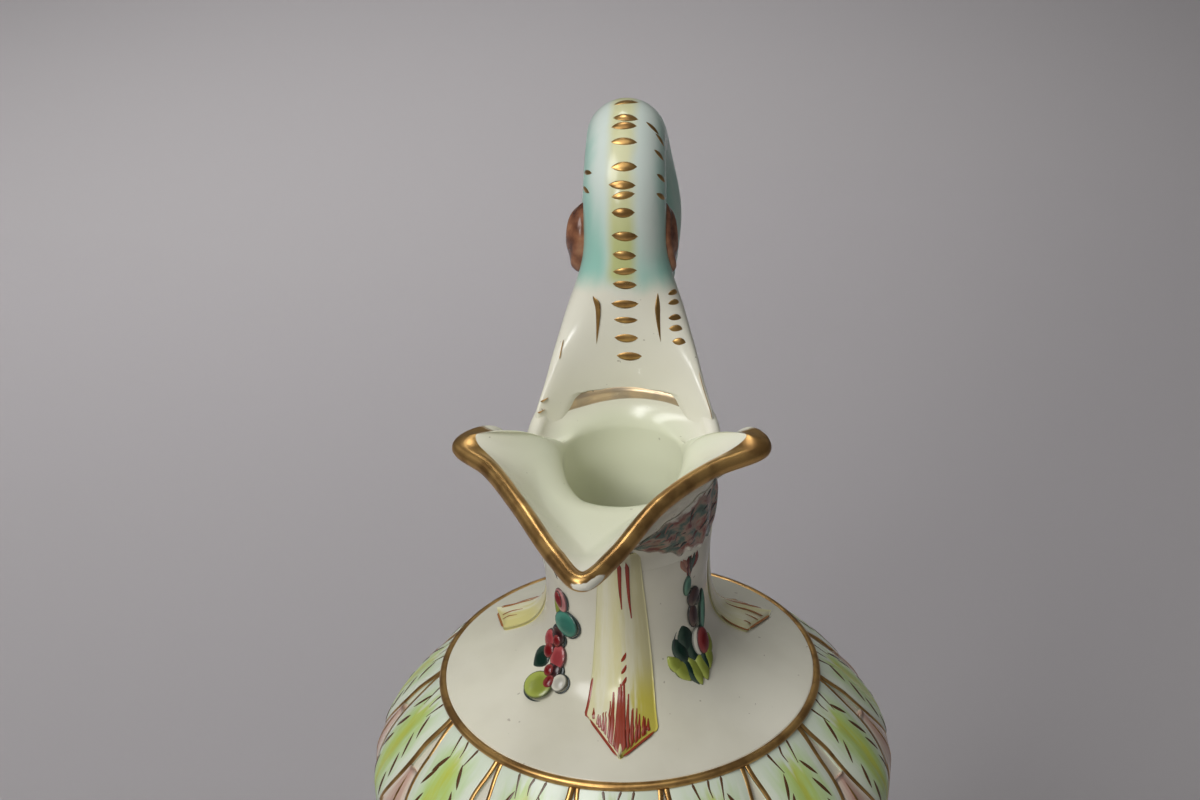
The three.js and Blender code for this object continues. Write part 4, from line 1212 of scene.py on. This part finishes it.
pendantLook = {
    "pale": ((0.02, 222, 217, 168), (0.2, 233, 229, 201), (0.45, 226, 220, 168), (0.6, 232, 228, 198),
             (0.85, 222, 215, 166)),
    "ripe": rgb(204, 192, 84), "sideShare": 0.45,    # the leaves at the sides are painted more thinly
    "red": rgb(152, 54, 30), "thinRed": rgb(172, 112, 62),
    "combCount": 19, "combFirst": -6.6, "combLast": 6.2, "combFoot": 0.86, "combMiddle": 2.2, "sideEvery": 3,
    "rowScale": 0.88,
    "edge": ((0.41, -0.93), (0.3, -0.95), (0.2, -0.97)), "edgeWidth": 0.95,
    "flecks": (0.55, 0.48, 0.41), "fleck": ((0.025, 0.13), (-0.005, 0.06), (-0.03, -0.02)),
    "fleckWidth": 0.85,
    "pointFrom": (0.2, 0.14), "pointWidth": 1.0,              # lines down both edges of the point
    "veins": ((1.5, 14, ((1.1, 0.3), (0.92, 0.32), (0.77, 0.37))),
              (1.1, 12, ((1.1, 0.02), (0.96, 0.02), (0.84, 0.05)))),
}


def pendantPaint(tree):
    look = pendantLook
    across, row = mark(tree, "across"), mark(tree, "row")
    streak = times(streaks(tree, 7, across, row, 0.8), 0.9)
    spread = addScaled(plus(across, streak), 0.5, 0.5)
    full = addScaled(smooth(mark(tree, "number"), 0.6, 0.4), 1 - look["sideShare"], look["sideShare"])
    ripe = times(smooth(spread, 0.55, 0.8), smooth(row, 0.5, 0.25), full)
    return mixColours(ripe, ramp(spread, look["pale"]), look["ripe"]), None


pendantUnit = plateMesh("pendantUnit", 64, 25, onPendant, "row")
pendantRing = ringOfUnits("pendantLeaves", pendantUnit, pendantSizes["count"], 0.0,
                          glazed("pendantPaint", pendantPaint))
showPiece("pendantLeaves", pendantRing, "pendant_paint", "pendant_leaf_front", "pendant_leaf_right",
          "pendant_leaf_left")


def pendantStrokes(s):
    strokes = newStrokes()

    def surface(row, across, lift):
        return onPendant(row * s["rowScale"], across, lift)

    def halfAt(row, aside):
        return pendantHalf(row * s["rowScale"], aside)

    for k in range(pendantSizes["count"]):
        draw = partial(addStroke, strokes, turnedBy(surface, math.tau / 3 * k),
                       tint=s["red"] if k == 0 else s["thinRed"])
        draw(s["edge"], s["edgeWidth"], "line", steps=14)
        for row in s["flecks"]:
            draw([(row + up, across) for up, across in s["fleck"]], s["fleckWidth"])
        for j in range(s["combCount"]):
            # a comb of upright strokes that stands on the two edges of the point
            aside = blend(s["combFirst"], s["combLast"], j / (s["combCount"] - 1)) + hand.normal(0, 0.2)
            rows = np.linspace(0.004, 0.3, 60)
            stands = halfAt(rows, np.full(60, aside)) * s["combFoot"] > abs(aside)
            foot = rows[np.argmax(stands)] + hand.uniform(0, 0.012)
            reach = max(0.2 + 0.13 * math.exp(-(aside / 3.0) ** 2) * hand.uniform(0.2, 1.7), foot + 0.05)
            spots = [(row, aside / float(halfAt(row, aside))) for row in np.linspace(foot, reach, 5)]
            width = hand.uniform(0.9, 1.4) * (1.5 if abs(aside) < s["combMiddle"] else 1)
            if k == 0 or j % s["sideEvery"] == 1:
                draw(spots, width, "tail", steps=12)
        for side, first in zip(bothSides, s["pointFrom"]):
            spots = [(first, side * 0.96), (first * 0.5, side * 0.94), (0.012, side * 0.9)]
            draw(spots, s["pointWidth"], "line", steps=16)
        for width, steps, spots in s["veins"]:
            draw(spots, width, "tail", steps=steps)
    return strokes


showStrokes("pendantStrokes", pendantStrokes(pendantLook), enamel, "pendant_paint")

# garlands under the rim

garlandSizes = {
    "thickness": 1.4, "band": 15, "level": 10.5, "sag": 2.5, "knots": 6, "first": 0.075, "last": 0.3125,
    "gap": 0.15, "sunk": -0.4,
    "strands": 90, "strandRun": (0.1, 0.24), "strandDrop": (0.3, 1.1), "strandWidth": (0.7, 1.7),
    "strandLift": -0.15, "strandFlat": 0.35,
    "tassels": 14, "tasselAt": 51, "tasselSpread": 9, "tasselLean": 2, "tasselTop": 0.2, "tasselBend": 2.6,
    "tasselEnd": (4.0, 7.0), "tasselWidth": (0.9, 1.9),
}
garlandLook = {
    "tints": [rgb(96, 40, 36), rgb(54, 62, 50), rgb(128, 66, 58), rgb(84, 104, 92), rgb(40, 44, 40),
              rgb(164, 116, 98), rgb(72, 34, 34), rgb(70, 92, 82)],
    "patches": ((0.3, 58, 68, 58), (0.42, 88, 112, 98), (0.5, 164, 138, 120), (0.6, 132, 68, 60),
                (0.72, 92, 40, 38)),
    "frayStart": 0.85, "frayEnd": 1.1,
}


def onMouth(share, rise, lift=0.0):
    # a distance up the mouth's outer wall from its seam, and a lift off it
    share, rise, lift = (np.asarray(v, float) for v in np.broadcast_arrays(share, rise, lift))
    shape = share.shape
    share, rise, lift = share.ravel(), rise.ravel(), lift.ravel()
    t = np.linspace(0, 1, 41)

    def wallAt(where):
        outer = mouthWall(where)[0]
        length = runningLength(np.stack([bezier(outer, np.full(len(where), k)) for k in t], 1), 1)
        spot = np.clip(rise / length[:, -1], 0, 0.999)
        level = np.array([np.interp(k * run[-1], run, t) for k, run in zip(spot, length)])
        up = bezier(outer, np.minimum(level + 0.01, 1)) - bezier(outer, np.maximum(level - 0.01, 0))
        return bezier(outer, level), up

    place, up = wallAt(share)
    sideways = wallAt(share + 0.002)[0] - place
    return (place + unit(np.cross(sideways, up)) * lift[:, None]).reshape(*shape, 3)


def onGarland(row, across, lift=0.0, top=1.0, way=1):
    s = garlandSizes
    row, across = np.broadcast_arrays(np.asarray(row, float), np.asarray(across, float))
    fromLip = blend(s["first"], s["last"], row)
    share = fromLip if way > 0 else 1 - fromLip
    ends = np.sin(blend(0.06, 0.94, row) * math.pi) ** 0.4
    knots = 0.75 + 0.25 * np.cos(row * s["knots"] * math.tau)
    bulge = s["thickness"] * knots * ends * np.maximum(1 - across ** 2, 0) ** 0.8
    ragged = 1 + 0.06 * np.sin(row * 31) + 0.05 * np.sin(row * 53 + 1)
    level = s["level"] - s["sag"] * np.sin(row * math.pi) + across * ends * ragged * s["band"] / 2
    return onMouth(share, level, np.where(top > 0.5, s["gap"] + bulge + lift, s["sunk"]))


def garlandPaint(tree):
    look = garlandLook
    across = mark(tree, "across")
    where = put(tree, "ShaderNodeCombineXYZ", {"X": across, "Y": times(mark(tree, "row"), 5.0)})
    patch = noise(tree, 1.6, 4, where)
    fray = plus(absolute(across), times(minus(patch, 0.5), 1.6))
    return mixColours(smooth(fray, look["frayStart"], look["frayEnd"]), ramp(patch, look["patches"]),
                      glazeLook["ivory"]), None


def garlandStrands(s, surface, way):
    strokes = newStrokes()
    tints = garlandLook["tints"]
    for k in range(s["strands"]):
        row, across = hand.uniform(0.06, 0.99), hand.uniform(-0.6, 0.98)
        run, drop = hand.uniform(*s["strandRun"]), hand.uniform(*s["strandDrop"])
        spots = [(row, across), (row - run * 0.45, across - drop * 0.25),
                 (max(row - run, 0.01), max(across - drop, -1.0))]
        addStroke(strokes, surface, spots, hand.uniform(*s["strandWidth"]), "drop", tints[k % len(tints)], 12,
                  s["strandLift"])
    for k in range(s["tassels"]):
        # the tassel that leads over to the fruit drop
        start, lean = (hand.uniform(-s[key], s[key]) for key in ("tasselSpread", "tasselLean"))
        spots = [(neckLength - s["tasselTop"], way * (s["tasselAt"] + start)),
                 (neckLength - s["tasselBend"], way * (s["tasselAt"] + start * 0.6 + lean)),
                 (neckLength - hand.uniform(*s["tasselEnd"]), way * (s["tasselAt"] + lean))]
        width = hand.uniform(*s["tasselWidth"])
        addStroke(strokes, onNeck, spots, width, "drop", tints[(k + 2) % len(tints)], 12)
    return strokes


garlandGlaze = glazed("garlandPaint", garlandPaint)
for way, name in ((1, "Right"), (-1, "Left")):
    surface = partial(onGarland, way=way)
    showPiece("garland" + name, plateMesh("garland" + name, 90, 21, surface, "row"), "garland_paint",
              "garland_" + name.lower(), material=garlandGlaze)
    showStrokes("garlandStrands" + name, garlandStrands(garlandSizes, surface, way), enamel, "garland_paint",
                garlandSizes["strandFlat"])

# fruit drops on the neck

dropLook = {
    "rose": rgb(186, 72, 76), "crimson": rgb(140, 16, 24), "maroon": rgb(58, 8, 14),
    "teal": rgb(50, 134, 114), "seagreen": rgb(70, 124, 104), "forest": rgb(8, 54, 40),
    "lime": rgb(164, 176, 70), "pale": rgb(222, 218, 202), "blush": rgb(206, 132, 130),
    "ink": rgb(30, 32, 34), "drawn": rgb(58, 68, 66),
    "heart": rgb(208, 208, 208), "wash": rgb(226, 222, 204), "edge": rgb(52, 60, 58),
}
# along the neck's outline in mm, sideways degrees, half length, half width, lean in degrees
dropFruits = {
    "left": [
        (42.0, -48.4, 3.2, 2.1, 14, "blush"), (42.5, -49.0, 2.2, 1.3, 14, "crimson"),
        (36.3, -43.2, 3.3, 3.8, 0, "teal"), (32.0, -50.0, 2.4, 2.3, 0, "maroon"),
        (30.9, -48.8, 1.6, 1.4, 0, "crimson"), (29.8, -57.4, 2.4, 2.1, 0, "rose"),
        (27.4, -53.4, 1.9, 1.8, 0, "crimson"), (27.0, -45.0, 3.1, 2.4, 8, "rose"),
        (23.8, -44.0, 2.2, 2.1, 0, "maroon"), (23.2, -46.2, 1.5, 1.4, 0, "crimson"),
        (20.6, -42.2, 1.8, 1.4, 0, "crimson"), (21.6, -36.6, 2.2, 2.0, 0, "pale"),
        (18.6, -47.0, 3.6, 4.0, 0, "lime"),
    ],
    "right": [
        (46.4, 49.4, 3.0, 1.2, 0, "seagreen"), (42.0, 56.6, 2.7, 2.3, 0, "maroon"),
        (40.8, 60.0, 1.7, 1.1, 0, "ink"), (37.0, 54.8, 3.3, 1.7, 6, "maroon"),
        (36.4, 66.0, 5.6, 1.0, -10, "seagreen"), (29.8, 56.2, 3.6, 2.3, -10, "pale"),
        (29.6, 58.6, 3.4, 2.2, -10, "crimson"),
    ],
}
dropLeaves = {
    "left": [(24.4, -60.0, 3.8, 3.0, -8, "forest"), (39.2, -53.6, 4.4, 0.9, 12, "lime")],
    "right": [
        (31.8, 46.6, 5.2, 2.4, 8, "forest"), (29.8, 40.2, 4.4, 2.0, 18, "forest"),
        (28.6, 50.8, 4.4, 2.2, -4, "forest"), (27.0, 34.6, 3.2, 1.7, 30, "lime"),
        (25.4, 37.6, 3.5, 1.9, 22, "lime"), (24.4, 42.6, 3.9, 1.5, 10, "forest"),
        (24.0, 45.4, 3.9, 2.0, 2, "lime"), (24.2, 51.6, 3.8, 2.0, -10, "lime"),
        (25.2, 55.4, 3.6, 1.3, -18, "forest"), (25.4, 58.6, 3.5, 1.8, -28, "lime"),
        (27.2, 62.6, 3.2, 1.6, -40, "lime"),
    ],
}
# outlines brushed round the fruits: along, degrees, half length and width, first and last turn, stroke width
dropArcs = {
    "left": [
        (42.0, -48.4, 3.4, 2.4, -150, -20, 0.5), (36.3, -43.2, 3.5, 4.1, -170, 20, 0.6),
        (32.2, -50.0, 2.2, 2.2, 10, 130, 1.2), (31.6, -49.6, 2.5, 2.4, -150, -60, 0.7),
        (23.6, -43.4, 2.1, 2.0, -160, 10, 1.2), (21.6, -36.6, 2.3, 2.2, -190, 30, 0.5),
        (18.6, -47.0, 3.8, 4.2, 90, 220, 0.5), (29.8, -57.4, 2.3, 2.0, -20, 120, 0.5),
    ],
    "right": [(31.2, 45.4, 5.0, 3.3, 40, 130, 0.4), (29.6, 58.6, 3.5, 2.4, -100, 40, 0.4)],
}
dropSizes = {
    "depth": 0.75,                               # half thickness of a fruit
    "lift": 0.2, "order": 0.08, "core": 0.4,     # each lies a little over the last, crimson cores higher
    "leafLift": -0.35, "leafPoint": 0.75, "outlineLift": 0.3, "outlineFlat": 0.5,
}


def berryMesh(rings=12, sides=22, point=0.0):
    # a unit pebble; point draws its ends out into a leaf
    height, angle = np.meshgrid(np.linspace(0, math.pi, rings)[1:-1], np.arange(sides) / sides * math.tau,
                                indexing="ij")
    x, y = np.sin(height) * np.cos(angle), np.sin(height) * np.sin(angle)
    points = np.stack([x, y * (1 - point * x ** 2), np.cos(height)], -1).reshape(-1, 3)
    points = np.vstack([points, [(0, 0, 1), (0, 0, -1)]])
    return makeMesh("berryUnit", points / mm, tubeFaces(rings - 2, sides), marks={"local": points})


def fruitPaint(tree):
    # brushed from a strong heart through a thin wash to a drawn edge
    look = dropLook
    x, y = put(tree, "ShaderNodeSeparateXYZ", {0: mark(tree, "local", "Vector")}).node.outputs[:2]
    aside = plus(y, times(minus(noise(tree, 420, 3), 0.5), 0.7))
    tint = mark(tree, "tint", "Color")
    strong, thin = mixColours(1.0, tint, look["heart"], "MULTIPLY"), mixColours(0.06, tint, look["wash"])
    colour = mixColours(smooth(distance(minus(aside, 0.22), x), 0.35, 1.0), strong, thin)
    return mixColours(times(smooth(distance(y, x), 0.84, 0.97), 0.75), colour, look["edge"]), None


def seatFruits(name, fruits, unitMesh, lift=0.0):
    s = dropSizes
    places, aims, outs, sizes, tints = [], [], [], [], []
    for order, (along, degrees, length, width, lean, tint) in enumerate(fruits):
        seat = onNeck(along, degrees)
        out = unit(onNeck(along, degrees, 1.0) - seat)
        down = unit(onNeck(along - 1.0, degrees) - seat)
        lean = math.radians(lean)
        places.append(onNeck(along, degrees, s["lift"] + lift + s["order"] * order
                             + (s["core"] if tint == "crimson" else 0)))
        aims.append(down * math.cos(lean) + np.cross(out, down) * math.sin(lean))
        outs.append(out)
        sizes.append((length * mm, width * mm, s["depth"] * mm))
        tints.append(dropLook[tint][:3])
    return seatUnits(name, unitMesh, places, aims, outs, sizes, fruitGlaze, tint=np.array(tints))


def dropOutlines(arcs):
    strokes = newStrokes()
    for along, degrees, length, width, first, last, girth in arcs:
        turn = np.radians(np.linspace(first, last, 9))
        radius = onPath(neckPath, np.array(along))[0]
        aside = np.degrees(width * np.sin(turn) / radius)
        spots = np.column_stack([along + length * np.cos(turn), degrees - aside])
        addStroke(strokes, onNeck, spots, girth, "tick", dropLook["drawn"], 18, dropSizes["outlineLift"])
    return strokes


fruitGlaze = glazed("fruitPaint", fruitPaint)
for side in ("right", "left"):
    title = side.capitalize()
    fruits = seatFruits("fruitDrop" + title, dropFruits[side], berryMesh())
    showPiece("fruitDrop" + title, fruits, "fruit_paint", "fruit_drop_" + side)
    leaves = seatFruits("dropLeaves" + title, dropLeaves[side], berryMesh(point=dropSizes["leafPoint"]),
                        dropSizes["leafLift"])
    showPiece("dropLeaves" + title, leaves, "fruit_paint")
    showStrokes("dropOutlines" + title, dropOutlines(dropArcs[side]), enamel, "fruit_paint",
                dropSizes["outlineFlat"])

# floor, light and camera

floorLook = {"size": 60.0, "colour": rgb(171, 167, 169), "faint": rgb(165, 161, 162), "roughness": 0.85}


def makeFloor(s):
    half = s["size"] / 2
    mesh = bpy.data.meshes.new("floor")
    corners = [(-half, -half, 0), (half, -half, 0), (half, half, 0), (-half, half, 0)]
    mesh.from_pydata(corners, [], [(0, 1, 2, 3)])
    material, tree, shader = startMaterial("floorPaper")
    faint = mixColours(noise(tree, 1.2, 2), s["colour"], s["faint"])
    connect(shader, {"Base Color": faint, "Roughness": s["roughness"]})
    mesh.materials.append(material)
    floor = bpy.data.objects.new("floor", mesh)
    scene.collection.objects.link(floor)


def addPlaced(name, data, right, up, back, place):
    placed = bpy.data.objects.new(name, data)
    scene.collection.objects.link(placed)
    columns = np.column_stack([right, up, back, place])
    placed.matrix_world = Matrix(np.vstack([columns, [0, 0, 0, 1]]).tolist())
    return placed


def addLight(name, place, aim, size, power, spread=180):
    lamp = bpy.data.lights.new(name, "AREA")
    lamp.shape = "DISK"
    lamp.size = size
    lamp.energy = power
    lamp.spread = math.radians(spread)
    back = unit(np.array(place, float) - np.array(aim, float))
    right = unit(np.cross([0, 0, 1], back))
    addPlaced(name, lamp, right, np.cross(back, right), back, place)


lightSizes = {
    "key": {"place": (-0.85, -0.85, 1.55), "aim": (0, 0, 0.2), "size": 0.9, "power": 12.5},
    "top": {"place": (-0.15, -0.42, 1.6), "aim": (0, 0, 0.2), "size": 1.1, "power": 4},
    "front": {"place": (-0.5, -1.5, 1.0), "aim": (0, 0, 0.2), "size": 0.35, "power": 5.5},
    "rear": {"place": (-0.12, 0.55, 1.35), "aim": (0, 0, 0.25), "size": 0.3, "power": 0.17, "spread": 50},
    "table": {"place": (-0.1, -1.0, 1.0), "aim": (-0.05, -0.8, 0), "size": 0.6, "power": 1.0, "spread": 60},
    "over": {"place": (-0.25, 0.85, 1.6), "aim": (-0.2, 0.8, 0), "size": 0.6, "power": 1.1, "spread": 45},
    "left": {"place": (-1.1, 0.45, 0.8), "aim": (-0.45, 0.5, 0), "size": 0.6, "power": 0.5, "spread": 60},
}
cameraView = {
    "place": (38.06, -509.29, 569.89), "right": (0.99735, 0.06523, -0.03212),
    "up": (-0.00475, 0.49932, 0.86641), "back": (0.07255, -0.86396, 0.49831),
    "lens": 78.0, "sensor": 36.0, "nearest": 0.01,
}
worldLook = {"colour": (0.62, 0.61, 0.61, 1), "strength": 0.16}


def makeCamera(s):
    lens = bpy.data.cameras.new("camera")
    lens.lens = s["lens"]
    lens.sensor_width = s["sensor"]
    lens.clip_start = s["nearest"]
    scene.camera = addPlaced("camera", lens, s["right"], s["up"], s["back"], np.array(s["place"]) * mm)


def makeWorld(s):
    world = bpy.data.worlds.new("room")
    world.use_nodes = True
    connect(world.node_tree.nodes["Background"], {"Color": s["colour"], "Strength": s["strength"]})
    scene.world = world


makeFloor(floorLook)
for name, values in lightSizes.items():
    addLight(name, **values)
makeCamera(cameraView)
makeWorld(worldLook)
print("floor, light and camera ready")
